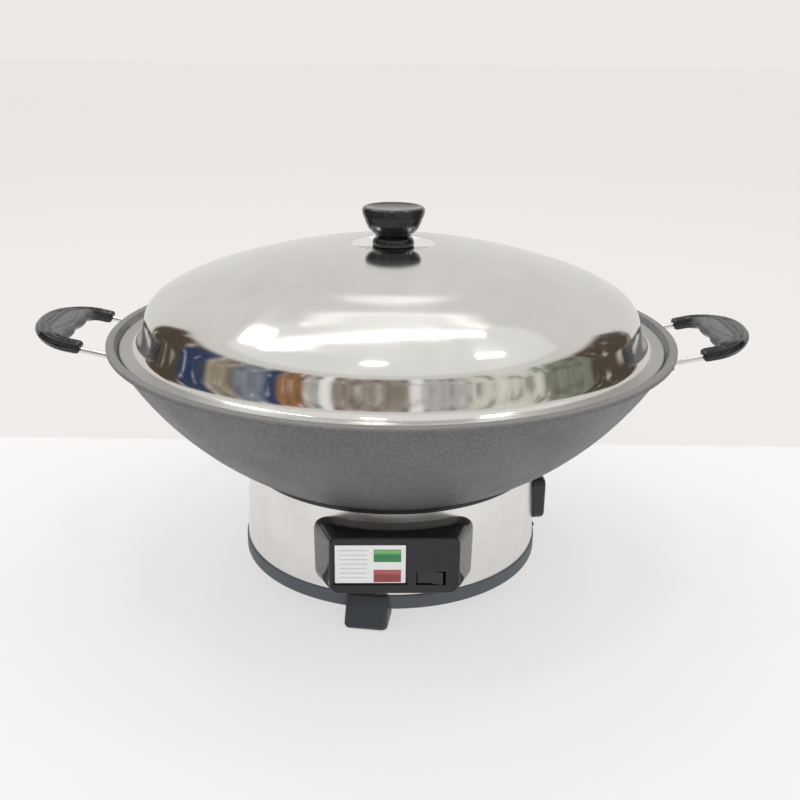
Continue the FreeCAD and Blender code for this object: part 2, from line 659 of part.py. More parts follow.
def slot(start, end):
    """A round-ended slot along +X, through the base plate."""
    half = PLATE_SLOT_WIDTH / 2
    middle = block((start + half, -half, PLATE_BOTTOM), (end - half, half, RING_LEDGE_BOTTOM))
    return middle.multiFuse([at_radius(disc(half, PLATE_BOTTOM, PLATE_SHEET), reach)
                             for reach in (start + half, end - half)])


def base_plate():
    plate = disc(plate_radius(), PLATE_BOTTOM, PLATE_SHEET, STUD_RADIUS + HOLE_GAP)
    cuts = []
    for start, end, count in PLATE_SLOT_ROWS:
        vent = slot(RING_LEDGE_RADIUS - start, RING_LEDGE_RADIUS - end)
        cuts += around(vent, count, ELEMENT_GAP_ANGLE + 180.0 / count)
    hole = disc(PLATE_SCREW_RADIUS + HOLE_GAP, PLATE_BOTTOM, PLATE_SHEET)
    cuts += around(at_radius(hole, plate_screw_track()), FOOT_COUNT, FOOT_ANGLE + 180.0 / FOOT_COUNT)
    earth_hole = disc(EARTH_SCREW_RADIUS + HOLE_GAP, PLATE_BOTTOM, PLATE_SHEET)
    cuts.append(turn(at_radius(earth_hole, EARTH_RADIUS), EARTH_ANGLE))
    return plate.cut(Part.makeCompound(cuts))


def plate_screws():
    head = disc(PLATE_SCREW_HEAD_RADIUS, PLATE_BOTTOM - PLATE_SCREW_HEAD_HEIGHT, PLATE_SCREW_HEAD_HEIGHT)
    shank = disc(PLATE_SCREW_RADIUS, PLATE_BOTTOM, PLATE_SHEET + PLATE_SCREW_LENGTH)
    screw = at_radius(head.fuse(shank), plate_screw_track())
    return Part.makeCompound(around(screw, FOOT_COUNT, FOOT_ANGLE + 180.0 / FOOT_COUNT))


# Heights of what the centre stud clamps, from the bowl's boss downwards
HUB_BOTTOM = BOSS_FACE - CLAMP_SHEET
CLAMP_NUT_TOP = HUB_BOTTOM - BRACKET_SHEET
DISH_HUB_TOP = CLAMP_NUT_TOP - NUT_HEIGHT
DISH_NUT_TOP = DISH_HUB_TOP - DISH_SHEET
BASE_NUT_TOP = PLATE_BOTTOM - WASHER_THICKNESS


def stud_nut(top):
    bottom = Vector(0, 0, top - NUT_HEIGHT)
    nut = hexagon(NUT_ACROSS_FLATS, bottom, bottom + UP, NUT_HEIGHT)
    return nut.cut(disc(STUD_RADIUS, top - NUT_HEIGHT, NUT_HEIGHT))


def save_stud_and_nuts():
    save(disc(STUD_RADIUS, STUD_BOTTOM, BOSS_FACE + BOSS_BORE_DEPTH - STUD_BOTTOM), "centre_stud")
    save(stud_nut(CLAMP_NUT_TOP), "clamp_nut")
    save(stud_nut(DISH_NUT_TOP), "dish_nut")
    save(stud_nut(BASE_NUT_TOP), "base_nut")
    save(disc(WASHER_RADIUS, BASE_NUT_TOP, WASHER_THICKNESS, STUD_RADIUS + HOLE_GAP), "base_washer")


# Heating element, clamp and dish ----------------------------------------------------------------------

def element_height():
    """Centre line of the ring when its tube lies against the bowl."""
    reach = BOWL_CURVE + SEAT_GAP + ELEMENT_TUBE_RADIUS
    return OUTER_CENTRE - math.sqrt(reach ** 2 - ELEMENT_RADIUS ** 2)


def element_leg(angle, way):
    """Low end, middle and high end of the bend from a leg into the ring; way is the ring's sense there."""
    join = turned_point(ELEMENT_RADIUS, 0, element_height(), angle)
    along = turned_point(0, way, 0, angle)
    centre = join - UP * ELEMENT_BEND_RADIUS
    middle = centre + (UP - along).normalize() * ELEMENT_BEND_RADIUS
    return centre - along * ELEMENT_BEND_RADIUS, middle, join


def element_bends():
    first = ELEMENT_GAP_ANGLE + ELEMENT_OPENING / 2
    last = ELEMENT_GAP_ANGLE - ELEMENT_OPENING / 2
    return element_leg(first, 1), element_leg(last, -1)


def at_legs(shape):
    """A copy of the shape below each end of the ring."""
    return Part.makeCompound([shape.translated(Vector(bend[0].x, bend[0].y, 0)) for bend in element_bends()])


def heating_element():
    (low_a, middle_a, join_a), (low_b, middle_b, join_b) = element_bends()
    drop = UP * (ELEMENT_LEG_DROP - ELEMENT_BEND_RADIUS)
    far_side = turned_point(-ELEMENT_RADIUS, 0, element_height(), ELEMENT_GAP_ANGLE)
    path = Part.Wire([line(low_a - drop, low_a), arc(low_a, middle_a, join_a), arc(join_a, far_side, join_b),
                      arc(join_b, middle_b, low_b), line(low_b, low_b - drop)])
    return pipe(path, ELEMENT_TUBE_RADIUS)


def element_pins():
    leg_end = element_height() - ELEMENT_LEG_DROP
    return at_legs(disc(ELEMENT_PIN_RADIUS, leg_end - ELEMENT_PIN_LENGTH, ELEMENT_PIN_LENGTH))


def element_clamp():
    """A pressed spider: a hub under the boss and arms that hold the element up to the bowl."""
    shelf = element_height() - ELEMENT_TUBE_RADIUS - HOLE_GAP
    lip = ELEMENT_RADIUS + ELEMENT_TUBE_RADIUS + HOLE_GAP
    shelf_start = ELEMENT_RADIUS - 2 * ELEMENT_TUBE_RADIUS
    lip_top = shelf + CLAMP_LIP_HEIGHT
    section = [(0, BOSS_FACE), (CLAMP_HUB_RADIUS, BOSS_FACE), (shelf_start, shelf), (lip, shelf),
               (lip, lip_top), (lip + CLAMP_SHEET, lip_top), (lip + CLAMP_SHEET, shelf - CLAMP_SHEET),
               (shelf_start, shelf - CLAMP_SHEET), (CLAMP_HUB_RADIUS, HUB_BOTTOM), (0, HUB_BOTTOM)]
    half = CLAMP_ARM_WIDTH / 2
    arm = polygon([Vector(reach, -half, height) for reach, height in section]).extrude(Vector(0, 2 * half, 0))
    arms = around(arm, CLAMP_ARM_COUNT, ELEMENT_GAP_ANGLE + 180.0 / CLAMP_ARM_COUNT)
    spider = disc(CLAMP_HUB_RADIUS, HUB_BOTTOM, CLAMP_SHEET).multiFuse(arms)
    return spider.cut(disc(STUD_RADIUS + HOLE_GAP, HUB_BOTTOM, CLAMP_SHEET))


def reflector_dish():
    """Spun sheet: a raised hub, a flat floor and a steep wall whose flange lies under the seat ring."""
    rim_top = BAND_TOP - SEAT_DEPTH
    rim = BAND_NECK_RADIUS - BAND_SHEET - SEAT_GAP
    flare = DISH_FLAT_RADIUS + DISH_WALL_SPREAD
    slope = DISH_HUB_RADIUS + (DISH_HUB_TOP - DISH_FLOOR)
    bore = STUD_RADIUS + HOLE_GAP
    upper = [(bore, DISH_HUB_TOP), (DISH_HUB_RADIUS, DISH_HUB_TOP), (slope, DISH_FLOOR),
             (DISH_FLAT_RADIUS, DISH_FLOOR), (flare, rim_top), (rim, rim_top)]
    sideways = (0, -DISH_SHEET / 2, -DISH_SHEET / 2, DISH_SHEET, DISH_SHEET, 0)
    lower = [(radius + shift, height - DISH_SHEET) for (radius, height), shift in zip(upper, sideways)]
    dish = spin_polygon(upper + lower[::-1])
    bush_holes = at_legs(disc(BUSH_RADIUS - BUSH_FLANGE + HOLE_GAP, DISH_FLOOR - DISH_SHEET, DISH_SHEET))
    lead_hole = turn(at_radius(disc(LIMITER_RADIUS, DISH_FLOOR - DISH_SHEET, DISH_SHEET), LIMITER_OFFSET),
                     LIMITER_ANGLE)
    return dish.cut(bush_holes).cut(lead_hole)


def element_bushes():
    """Ceramic bushes that pass the element's legs through the dish."""
    low = DISH_FLOOR - DISH_SHEET - BUSH_HEIGHT / 2
    bush = disc(BUSH_RADIUS, DISH_FLOOR, BUSH_HEIGHT / 2)
    bush = bush.fuse(disc(BUSH_RADIUS - BUSH_FLANGE, low, DISH_FLOOR - low))
    return at_legs(bush.cut(disc(ELEMENT_TUBE_RADIUS + HOLE_GAP, low, BUSH_HEIGHT * 2)))


# Limiter, terminals and leads -------------------------------------------------------------------------

LIMITER_ANGLE = ELEMENT_GAP_ANGLE + 120.0
LIMITER_TOP = bowl_outside(LIMITER_OFFSET - LIMITER_RADIUS, SEAT_GAP)
LIMITER_BOTTOM = LIMITER_TOP - LIMITER_HEIGHT


def limiter():
    """Snap-disc limiter whose cap lies against the bowl, with two blade terminals."""
    blades = []
    for side in (1, -1):
        middle = side * LIMITER_BLADE_OFFSET
        blades.append(block((-TAB_SHEET / 2, middle - TAB_WIDTH / 4, LIMITER_BOTTOM - TAB_LENGTH),
                            (TAB_SHEET / 2, middle + TAB_WIDTH / 4, LIMITER_BOTTOM)))
    body = disc(LIMITER_RADIUS, LIMITER_BOTTOM, LIMITER_HEIGHT).multiFuse(blades)
    return turn(at_radius(body, LIMITER_OFFSET), LIMITER_ANGLE)


def limiter_bracket():
    """A strip clamped under the spider's hub; its ring carries the limiter."""
    half = BRACKET_WIDTH / 2
    reach = LIMITER_OFFSET - LIMITER_RADIUS
    holder_bottom = LIMITER_BOTTOM - BRACKET_SHEET
    strip = block((0, -half, CLAMP_NUT_TOP), (reach, half, HUB_BOTTOM))
    step = block((reach - BRACKET_SHEET, -half, min(CLAMP_NUT_TOP, holder_bottom)),
                 (reach, half, max(HUB_BOTTOM, LIMITER_BOTTOM)))
    holder = at_radius(disc(LIMITER_RADIUS + BRACKET_SHEET, holder_bottom, BRACKET_SHEET), LIMITER_OFFSET)
    window_radius = LIMITER_BLADE_OFFSET + TAB_WIDTH / 2
    window = at_radius(disc(window_radius, holder_bottom, BRACKET_SHEET), LIMITER_OFFSET)
    shape = strip.multiFuse([step, holder]).cut(window)
    case = at_radius(disc(LIMITER_RADIUS, LIMITER_BOTTOM, LIMITER_HEIGHT), LIMITER_OFFSET)
    shape = shape.cut(case).cut(disc(STUD_RADIUS + HOLE_GAP, CLAMP_NUT_TOP, BRACKET_SHEET))
    return turn(shape, LIMITER_ANGLE)


def block_entries():
    """Where the two leads meet the terminal block's inner side, in the direction of the element's gap."""
    side = abs(turned_point(element_bends()[0][0].x, element_bends()[0][0].y, 0, -ELEMENT_GAP_ANGLE).y)
    height = RING_LEDGE_BOTTOM + BLOCK_ENTRY_HEIGHT
    inner = ELEMENT_RADIUS - BLOCK_DEPTH / 2
    return [turned_point(inner, way * side, height, ELEMENT_GAP_ANGLE) for way in (1, -1)]


def terminal_block():
    """Ceramic block on the base plate, below the element's ends."""
    body = block((ELEMENT_RADIUS - BLOCK_DEPTH / 2, -BLOCK_LENGTH / 2, RING_LEDGE_BOTTOM),
                 (ELEMENT_RADIUS + BLOCK_DEPTH / 2, BLOCK_LENGTH / 2, RING_LEDGE_BOTTOM + BLOCK_HEIGHT))
    body = turn(body, ELEMENT_GAP_ANGLE)
    pin_end = element_height() - ELEMENT_LEG_DROP - ELEMENT_PIN_LENGTH
    return body.cut(at_legs(disc(ELEMENT_PIN_RADIUS + HOLE_GAP, pin_end - HOLE_GAP, ELEMENT_PIN_LENGTH)))


def earth_place():
    return turned_point(EARTH_RADIUS, 0, RING_LEDGE_BOTTOM, EARTH_ANGLE)


def earth_tag():
    ring = disc(EARTH_SCREW_HEAD_RADIUS, 0, EARTH_TAG_SHEET, EARTH_SCREW_RADIUS + HOLE_GAP)
    return ring.translated(earth_place())


def earth_screw():
    head = disc(EARTH_SCREW_HEAD_RADIUS, EARTH_TAG_SHEET, EARTH_SCREW_HEAD_HEIGHT)
    shank = disc(EARTH_SCREW_RADIUS, EARTH_TAG_SHEET - EARTH_SCREW_LENGTH, EARTH_SCREW_LENGTH)
    return head.fuse(shank).translated(earth_place())


def inlet_tail(across, rise):
    """Inner end of an inlet pin."""
    return turned_point(INLET_BODY_BACK - INLET_PIN_TAIL, across, inlet_pin_height() + rise, INLET_ANGLE)


def switch_tab_end(way):
    across, height = SWITCH_CENTRE
    depth = BOX_WALL + SWITCH_BODY_DEPTH + TAB_LENGTH
    return turned_point(across + way * TAB_SPACING / 2, depth - BOX_FACE, height, CONTROL_TURN)


def limiter_blade_end(way):
    height = LIMITER_BOTTOM - TAB_LENGTH
    return turned_point(LIMITER_OFFSET, way * LIMITER_BLADE_OFFSET, height, LIMITER_ANGLE)


def lead(points):
    return pipe(rounded_path(points, LEAD_BEND_RADIUS), LEAD_RADIUS)


def save_leads():
    """Sleeved leads between the inlet, switch, limiter, terminal block and earth screw."""
    inward = turned_point(-LEAD_STUB_LENGTH, 0, 0, INLET_ANGLE)
    backward = turned_point(0, LEAD_RUN_OUT, 0, CONTROL_TURN)
    to_middle = turned_point(-LEAD_RUN_OUT, 0, 0, ELEMENT_GAP_ANGLE)
    entry_a, entry_b = block_entries()

    live = inlet_tail(-INLET_PIN_SPACING / 2, 0)
    below_live = Vector((live + inward).x, (live + inward).y, LEAD_LEVEL)
    turns = [Vector(x, y, LEAD_LEVEL) for x, y in LIVE_TURNS]
    tab_in = switch_tab_end(1)
    save(lead([live, live + inward, below_live] + turns + [tab_in + backward, tab_in]), "live_lead")

    tab_out = switch_tab_end(-1)
    blade_in = limiter_blade_end(1)
    below_blade = Vector(blade_in.x, blade_in.y, LEAD_LOW_LEVEL)
    turn_in = Vector(*SWITCHED_TURN, LEAD_LOW_LEVEL)
    save(lead([tab_out, tab_out + backward, turn_in, below_blade, blade_in]), "switched_lead")

    blade_out = limiter_blade_end(-1)
    save(lead([blade_out, Vector(blade_out.x, blade_out.y, entry_a.z), entry_a + to_middle, entry_a]),
         "limiter_lead")

    neutral = inlet_tail(INLET_PIN_SPACING / 2, 0)
    below_neutral = Vector((neutral + inward).x, (neutral + inward).y, LEAD_LEVEL)
    before_fuse, after_fuse = [Vector(x, y, entry_b.z) for x, y in FUSE_RUN]
    to_fuse = [neutral, neutral + inward, below_neutral, before_fuse]
    save(lead(to_fuse + [after_fuse, entry_b + to_middle, entry_b]), "neutral_lead")
    along = (after_fuse - before_fuse).normalize()
    start = (before_fuse + after_fuse) / 2 - along * FUSE_LENGTH / 2
    sleeve = Part.makeCylinder(FUSE_RADIUS, FUSE_LENGTH, start, along)
    save(sleeve.cut(Part.makeCylinder(LEAD_RADIUS + HOLE_GAP, FUSE_LENGTH, start, along)), "thermal_fuse")

    earth = inlet_tail(0, INLET_EARTH_RISE)
    tag = earth_place() + turned_point(-EARTH_SCREW_HEAD_RADIUS, 0, LEAD_RADIUS + HOLE_GAP, EARTH_ANGLE)
    below_earth = Vector((earth + inward).x, (earth + inward).y, tag.z)
    before_tag = tag + turned_point(-LEAD_RUN_OUT, 0, 0, EARTH_ANGLE)
    save(lead([earth, earth + inward, below_earth, before_tag, tag]), "earth_lead")


# Control box ------------------------------------------------------------------------------------------

def front_block(centre, width, tall, near, far):
    """A block seen from the front at centre, from a depth near to a depth far behind the front face."""
    across, height = centre
    return block((across - width / 2, near - BOX_FACE, height - tall / 2),
                 (across + width / 2, far - BOX_FACE, height + tall / 2))


def box_form(inset, face_depth):
    """The housing's tapering form, drawn in from its outside by inset."""
    back = rounded_outline(BOX_BACK_WIDTH - 2 * inset, BOX_BACK_LOW + inset, BOX_BACK_HIGH - inset,
                           BOX_BACK_CORNER - inset, lambda across, height: Vector(across, -BOX_BACK, height))
    face = rounded_outline(BOX_FACE_WIDTH - 2 * inset, BOX_FACE_LOW + inset, BOX_FACE_HIGH - inset,
                           BOX_FACE_CORNER - inset,
                           lambda across, height: Vector(across, face_depth - BOX_FACE, height))
    return Part.makeLoft([back, face], True, True)


def lens_window(height, near, far, grow=0.0):
    return front_block((LENS_ACROSS, height), LENS_WIDTH + 2 * grow, LENS_TALL + 2 * grow, near, far)


def box_pillars(radius, front, back):
    """Bars on the axes of the two fixing screws, between two depths behind the front face."""
    starts = [Vector(side * BOX_PILLAR_OFFSET, front - BOX_FACE, BOX_SCREW_HEIGHT) for side in (1, -1)]
    return [Part.makeCylinder(radius, back - front, start, Vector(0, 1, 0)) for start in starts]


def control_box():
    outer = box_form(0, 0)
    face_edges = [edge for edge in outer.Edges if edge.BoundBox.YMax < 0.01 - BOX_FACE]
    outer = outer.makeFillet(BOX_EDGE_ROUND, face_edges)
    pillars = box_pillars(BOX_PILLAR_RADIUS, BOX_WALL / 2, BOX_FACE - BOX_BACK)
    pillars = Part.makeCompound(pillars).common(outer)
    housing = outer.cut(box_form(BOX_WALL, BOX_WALL)).fuse(pillars)
    recess_width = LABEL_WIDTH + 2 * LABEL_MARGIN
    recess_height = LABEL_HEIGHT + 2 * LABEL_MARGIN
    housing = housing.cut(front_block(LABEL_CENTRE, recess_width, recess_height, 0, LABEL_RECESS))
    for height in (GREEN_LENS_HEIGHT, RED_LENS_HEIGHT):
        housing = housing.cut(lens_window(height, 0, BOX_WALL, HOLE_GAP))
    housing = housing.cut(front_block(SWITCH_CENTRE, SWITCH_WIDTH, SWITCH_TALL, 0, BOX_WALL))
    bores = box_pillars(BOX_SCREW_RADIUS, box_screw_tip(), BOX_FACE - BOX_BACK)
    housing = housing.cut(Part.makeCompound(bores))
    return turn(housing, CONTROL_TURN).cut(band_form(HOLE_GAP))


def box_screw_head_depth():
    """Depth at which the screws' heads bear on the band's inside."""
    inside = band_radius(BOX_SCREW_HEIGHT + BOX_SCREW_HEAD_RADIUS) - BAND_SHEET
    edge = BOX_PILLAR_OFFSET + BOX_SCREW_HEAD_RADIUS
    return BOX_FACE - math.sqrt(inside ** 2 - edge ** 2) + HOLE_GAP


def box_screw_tip():
    return box_screw_head_depth() - BOX_SCREW_LENGTH


def box_screws():
    bearing = box_screw_head_depth()
    shanks = box_pillars(BOX_SCREW_RADIUS, box_screw_tip(), bearing)
    heads = box_pillars(BOX_SCREW_HEAD_RADIUS, bearing, bearing + BOX_SCREW_HEAD_HEIGHT)
    return Part.makeCompound([shank.fuse(head) for shank, head in zip(shanks, heads)])


def label_plate():
    front = LABEL_RECESS - LABEL_SHEET
    plate = front_block(LABEL_CENTRE, LABEL_WIDTH, LABEL_HEIGHT, front, LABEL_RECESS)
    for height in (GREEN_LENS_HEIGHT, RED_LENS_HEIGHT):
        plate = plate.cut(lens_window(height, 0, LABEL_RECESS, HOLE_GAP))
    return plate


LENS_FRONT = LABEL_RECESS - LABEL_SHEET - LENS_PROUD


def lens(height):
    """A window lens: its face stands through the label, its flange lies behind the wall."""
    body = lens_window(height, LENS_FRONT, BOX_WALL + LENS_DEPTH)
    body = body.fuse(lens_window(height, BOX_WALL, BOX_WALL + LENS_FLANGE, LENS_FLANGE))
    return body.cut(lens_window(height, LENS_FRONT + LENS_WALL, BOX_WALL + LENS_DEPTH, -LENS_WALL))


def neon_lamp(height):
    """A glow lamp lying across the hollow of its lens."""
    radius = LENS_TALL / 2 - LENS_WALL - SEAT_GAP
    length = LENS_WIDTH - 2 * (LENS_WALL + SEAT_GAP)
    depth = LENS_FRONT + LENS_WALL + SEAT_GAP + radius
    start = Vector(LENS_ACROSS - length / 2, depth - BOX_FACE, height)
    return Part.makeCylinder(radius, length, start, Vector(1, 0, 0))


def save_control_box():
    save(control_box(), "control_box")
    pieces = {"box_screws": box_screws(), "label_plate": label_plate(),
              "green_lens": lens(GREEN_LENS_HEIGHT), "red_lens": lens(RED_LENS_HEIGHT),
              "green_lamp": neon_lamp(GREEN_LENS_HEIGHT), "red_lamp": neon_lamp(RED_LENS_HEIGHT),
              "switch_body": switch_body(), "switch_terminals": switch_terminals(),
              "rocker_pin": rocker_pin(), "rocker": rocker()}
    for name, shape in pieces.items():
        save(turn(shape, CONTROL_TURN), name)


# Rocker switch ----------------------------------------------------------------------------------------

WELL_WIDTH = SWITCH_WIDTH - 2 * SWITCH_WELL_MARGIN
WELL_TALL = SWITCH_TALL - 2 * SWITCH_WELL_MARGIN


def pivot_bar(radius, length):
    across, height = SWITCH_CENTRE
    return Part.makeCylinder(radius, length, Vector(across, PIVOT_DEPTH - BOX_FACE, height - length / 2))


def switch_body():
    outer = front_block(SWITCH_CENTRE, WELL_WIDTH + 2 * SWITCH_BODY_WALL, WELL_TALL + 2 * SWITCH_BODY_WALL,
                        BOX_WALL, BOX_WALL + SWITCH_BODY_DEPTH)
    well = front_block(SWITCH_CENTRE, WELL_WIDTH, WELL_TALL, BOX_WALL, BOX_WALL + SWITCH_WELL_DEPTH)
    return outer.cut(well).cut(pivot_bar(PIVOT_RADIUS + BEARING_GAP, WELL_TALL + 2 * SWITCH_BODY_WALL))


def rocker_pin():
    return pivot_bar(PIVOT_RADIUS, WELL_TALL + 2 * SWITCH_BODY_WALL)


def rocker():
    """A paddle with a shallow valley across its face, shown with its right end standing out."""
    across, height = SWITCH_CENTRE
    pivot = PIVOT_DEPTH - BOX_FACE
    tall = WELL_TALL - 2 * PADDLE_SIDE_GAP
    low = height - tall / 2
    section = [(-PADDLE_HALF_WIDTH, PADDLE_END_RISE), (0, PADDLE_MIDDLE_RISE),
               (PADDLE_HALF_WIDTH, PADDLE_END_RISE), (PADDLE_HALF_WIDTH - PIVOT_RADIUS, -PIVOT_RADIUS),
               (2 * PIVOT_RADIUS, -PADDLE_NOSE_DROP),
               (-2 * PIVOT_RADIUS, -PADDLE_NOSE_DROP), (PIVOT_RADIUS - PADDLE_HALF_WIDTH, -PIVOT_RADIUS)]
    paddle = polygon([Vector(across + x, pivot - rise, low) for x, rise in section]).extrude(UP * tall)
    paddle = paddle.cut(pivot_bar(PIVOT_RADIUS + BEARING_GAP, tall))
    return paddle.rotated(Vector(across, pivot, 0), UP, -PADDLE_THROW)


def switch_terminals():
    across, height = SWITCH_CENTRE
    back = BOX_WALL + SWITCH_BODY_DEPTH
    middles = [(across + way * TAB_SPACING / 2, height) for way in (1, -1)]
    return Part.makeCompound([front_block(middle, TAB_SHEET, TAB_WIDTH, back, back + TAB_LENGTH)
                              for middle in middles])


# Power inlet ------------------------------------------------------------------------------------------

def inlet_pin_height():
    return INLET_HEIGHT - INLET_EARTH_RISE / 2


def inlet_screw_bars(radius, start, end):
    """Bars on the axes of the two fixing screws, laid out towards +X."""
    starts = [Vector(start, side * INLET_SCREW_SPACING / 2, INLET_HEIGHT) for side in (1, -1)]
    return [Part.makeCylinder(radius, end - start, place, Vector(1, 0, 0)) for place in starts]


def inlet_pin_blocks(grow, start, end):
    """The three flat pins, or their holes when grown."""
    pins = []
    half_wide = INLET_PIN_WIDTH / 2 + grow
    half_tall = INLET_PIN_TALL / 2 + grow
    for across, rise in ((-INLET_PIN_SPACING / 2, 0), (INLET_PIN_SPACING / 2, 0), (0, INLET_EARTH_RISE)):
        height = inlet_pin_height() + rise
        pins.append(block((start, across - half_wide, height - half_tall),
                          (end, across + half_wide, height + half_tall)))
    return pins


def inlet_housing():
    low = INLET_HEIGHT - INLET_FLANGE_TALL / 2
    high = INLET_HEIGHT + INLET_FLANGE_TALL / 2
    behind = rounded_outline(INLET_FLANGE_WIDTH, low, high, INLET_FLANGE_CORNER,
                             lambda across, height: Vector(INLET_BODY_BACK, across, height))
    face = rounded_outline(INLET_FLANGE_WIDTH - 2 * INLET_DRAFT, low + INLET_DRAFT, high - INLET_DRAFT,
                           INLET_FLANGE_CORNER - INLET_DRAFT,
                           lambda across, height: Vector(INLET_FACE, across, height))
    flange = Part.makeLoft([behind, face], True, True)
    face_edges = [edge for edge in flange.Edges if edge.BoundBox.XMin > INLET_FACE - 0.01]
    flange = flange.makeFillet(INLET_EDGE_ROUND, face_edges)
    flange = turn(flange, INLET_ANGLE).cut(band_form(HOLE_GAP))
    flange = turn(flange, -INLET_ANGLE)
    half_wide = INLET_BODY_WIDTH / 2
    half_tall = INLET_BODY_TALL / 2
    body = block((INLET_BODY_BACK, -half_wide, INLET_HEIGHT - half_tall),
                 (INLET_FACE - INLET_EDGE_ROUND, half_wide, INLET_HEIGHT + half_tall))
    housing = flange.fuse(body)
    floor = INLET_FACE - SOCKET_DEPTH
    top = INLET_HEIGHT + SOCKET_TALL / 2
    bottom = INLET_HEIGHT - SOCKET_TALL / 2
    side = SOCKET_WIDTH / 2
    mouth = [(-side, bottom), (side, bottom), (side, top - SOCKET_CHAMFER), (side - SOCKET_CHAMFER, top),
             (SOCKET_CHAMFER - side, top), (-side, top - SOCKET_CHAMFER)]
    outline = polygon([Vector(floor, across, height) for across, height in mouth])
    socket = outline.extrude(Vector(SOCKET_DEPTH, 0, 0))
    housing = housing.cut(socket)
    holes = inlet_pin_blocks(HOLE_GAP, INLET_BODY_BACK, floor)
    holes += inlet_screw_bars(INLET_SCREW_RADIUS + HOLE_GAP, INLET_BODY_BACK, INLET_FACE)
    holes += inlet_screw_bars(INLET_SCREW_HEAD_RADIUS + HOLE_GAP, inlet_screw_head(), INLET_FACE)
    return housing.cut(Part.makeCompound(holes))


def inlet_screw_head():
    """Where the counterbore for the screws' heads ends."""
    return INLET_FACE - INLET_SCREW_RADIUS * 2


def inlet_screws():
    shanks = inlet_screw_bars(INLET_SCREW_RADIUS, inlet_screw_head() - INLET_SCREW_LENGTH, inlet_screw_head())
    heads = inlet_screw_bars(INLET_SCREW_HEAD_RADIUS, inlet_screw_head(), INLET_FACE - INLET_SCREW_RADIUS)
    return Part.makeCompound([shank.fuse(head) for shank, head in zip(shanks, heads)])


def inlet_nuts():
    """Nuts that lie against the inside of the band."""
    edge = INLET_SCREW_SPACING / 2 + INLET_NUT_ACROSS_FLATS / math.sqrt(3)
    inside = band_radius(INLET_HEIGHT + INLET_NUT_ACROSS_FLATS) - BAND_SHEET
    outer_face = math.sqrt(inside ** 2 - edge ** 2) - HOLE_GAP
    nuts = []
    for side in (1, -1):
        centre = Vector(outer_face - INLET_NUT_HEIGHT, side * INLET_SCREW_SPACING / 2, INLET_HEIGHT)
        nuts.append(hexagon(INLET_NUT_ACROSS_FLATS, centre, centre + Vector(1, 0, 0), INLET_NUT_HEIGHT))
    bores = inlet_screw_bars(INLET_SCREW_RADIUS, outer_face - 2 * INLET_NUT_HEIGHT, outer_face)
    return Part.makeCompound([nut.cut(bore) for nut, bore in zip(nuts, bores)])


def save_inlet():
    pins = inlet_pin_blocks(0, INLET_BODY_BACK - INLET_PIN_TAIL, INLET_FACE - INLET_PIN_INSET)
    save(turn(inlet_housing(), INLET_ANGLE), "inlet_housing")
    save(turn(Part.makeCompound(pins), INLET_ANGLE), "inlet_pins")
    save(turn(inlet_screws(), INLET_ANGLE), "inlet_screws")
    save(turn(inlet_nuts(), INLET_ANGLE), "inlet_nuts")


# Lid and knob -----------------------------------------------------------------------------------------

# The rolled edge rests on the bowl's sloping inside
BEAD_TRACK = RIM_RADIUS - LID_INSET
FLANGE_RADIUS = BEAD_TRACK - LID_FLANGE_WIDTH
WIDEST_RADIUS = FLANGE_RADIUS - LID_SKIRT_HOLLOW
BEAD_HEIGHT = INNER_CENTRE - math.sqrt((BOWL_CURVE - SEAT_GAP - LID_BEAD_RADIUS) ** 2 - BEAD_TRACK ** 2)
FLANGE_TOP = BEAD_HEIGHT + LID_FLANGE_RISE
WIDEST_HEIGHT = FLANGE_TOP + LID_SKIRT_HEIGHT
PLATEAU_HEIGHT = WIDEST_HEIGHT + LID_DOME_RISE
ARC_HANDLE = 0.55           # share of a quarter arc's reach at which its Bezier handles end
SKIRT_TANGENT = Vector(-math.sin(math.radians(LID_SKIRT_LEAN)), 0, math.cos(math.radians(LID_SKIRT_LEAN)))
KNOB_SEAT = PLATEAU_HEIGHT - KNOB_SEAT_DEPTH


def dome_outside():
    """Outer line of the dome, from the top of the skirt in to the plateau."""
    points = [point(WIDEST_RADIUS, WIDEST_HEIGHT)]
    points += [point(WIDEST_RADIUS - inwards, WIDEST_HEIGHT + rise) for inwards, rise in LID_DOME_POINTS]
    points.append(point(LID_PLATEAU_RADIUS, PLATEAU_HEIGHT))
    curve = Part.BSplineCurve()
    curve.interpolate(Points=points, InitialTangent=SKIRT_TANGENT, FinalTangent=Vector(-1, 0, 0), Scale=False)
    return curve


def dome_inside(outside, end_point):
    """The same line one sheet further in, which ends at end_point."""
    points = [point(WIDEST_RADIUS - LID_SHEET, WIDEST_HEIGHT)]
    for knot in outside.getKnots()[1:-1]:
        inwards = outside.tangent(knot)[0].cross(Vector(0, 1, 0))
        points.append(outside.value(knot) + inwards * LID_SHEET)
    points.append(end_point)
    curve = Part.BSplineCurve()
    curve.interpolate(Points=points, InitialTangent=SKIRT_TANGENT, FinalTangent=Vector(-1, 0, 0), Scale=False)
    return curve


def skirt_line(spread):
    """The skirt's line, hollow outwards: level at the flange, and leaning in where the dome begins."""
    low = point(FLANGE_RADIUS, FLANGE_TOP - spread)
    high = point(WIDEST_RADIUS - spread, WIDEST_HEIGHT)
    curve = Part.BezierCurve()
    inwards = Vector(-ARC_HANDLE * (LID_SKIRT_HOLLOW + spread), 0, 0)
    upwards = SKIRT_TANGENT * ARC_HANDLE * (LID_SKIRT_HEIGHT + spread)
    curve.setPoles([low, low + inwards, high - upwards, high])
    return curve.toShape()


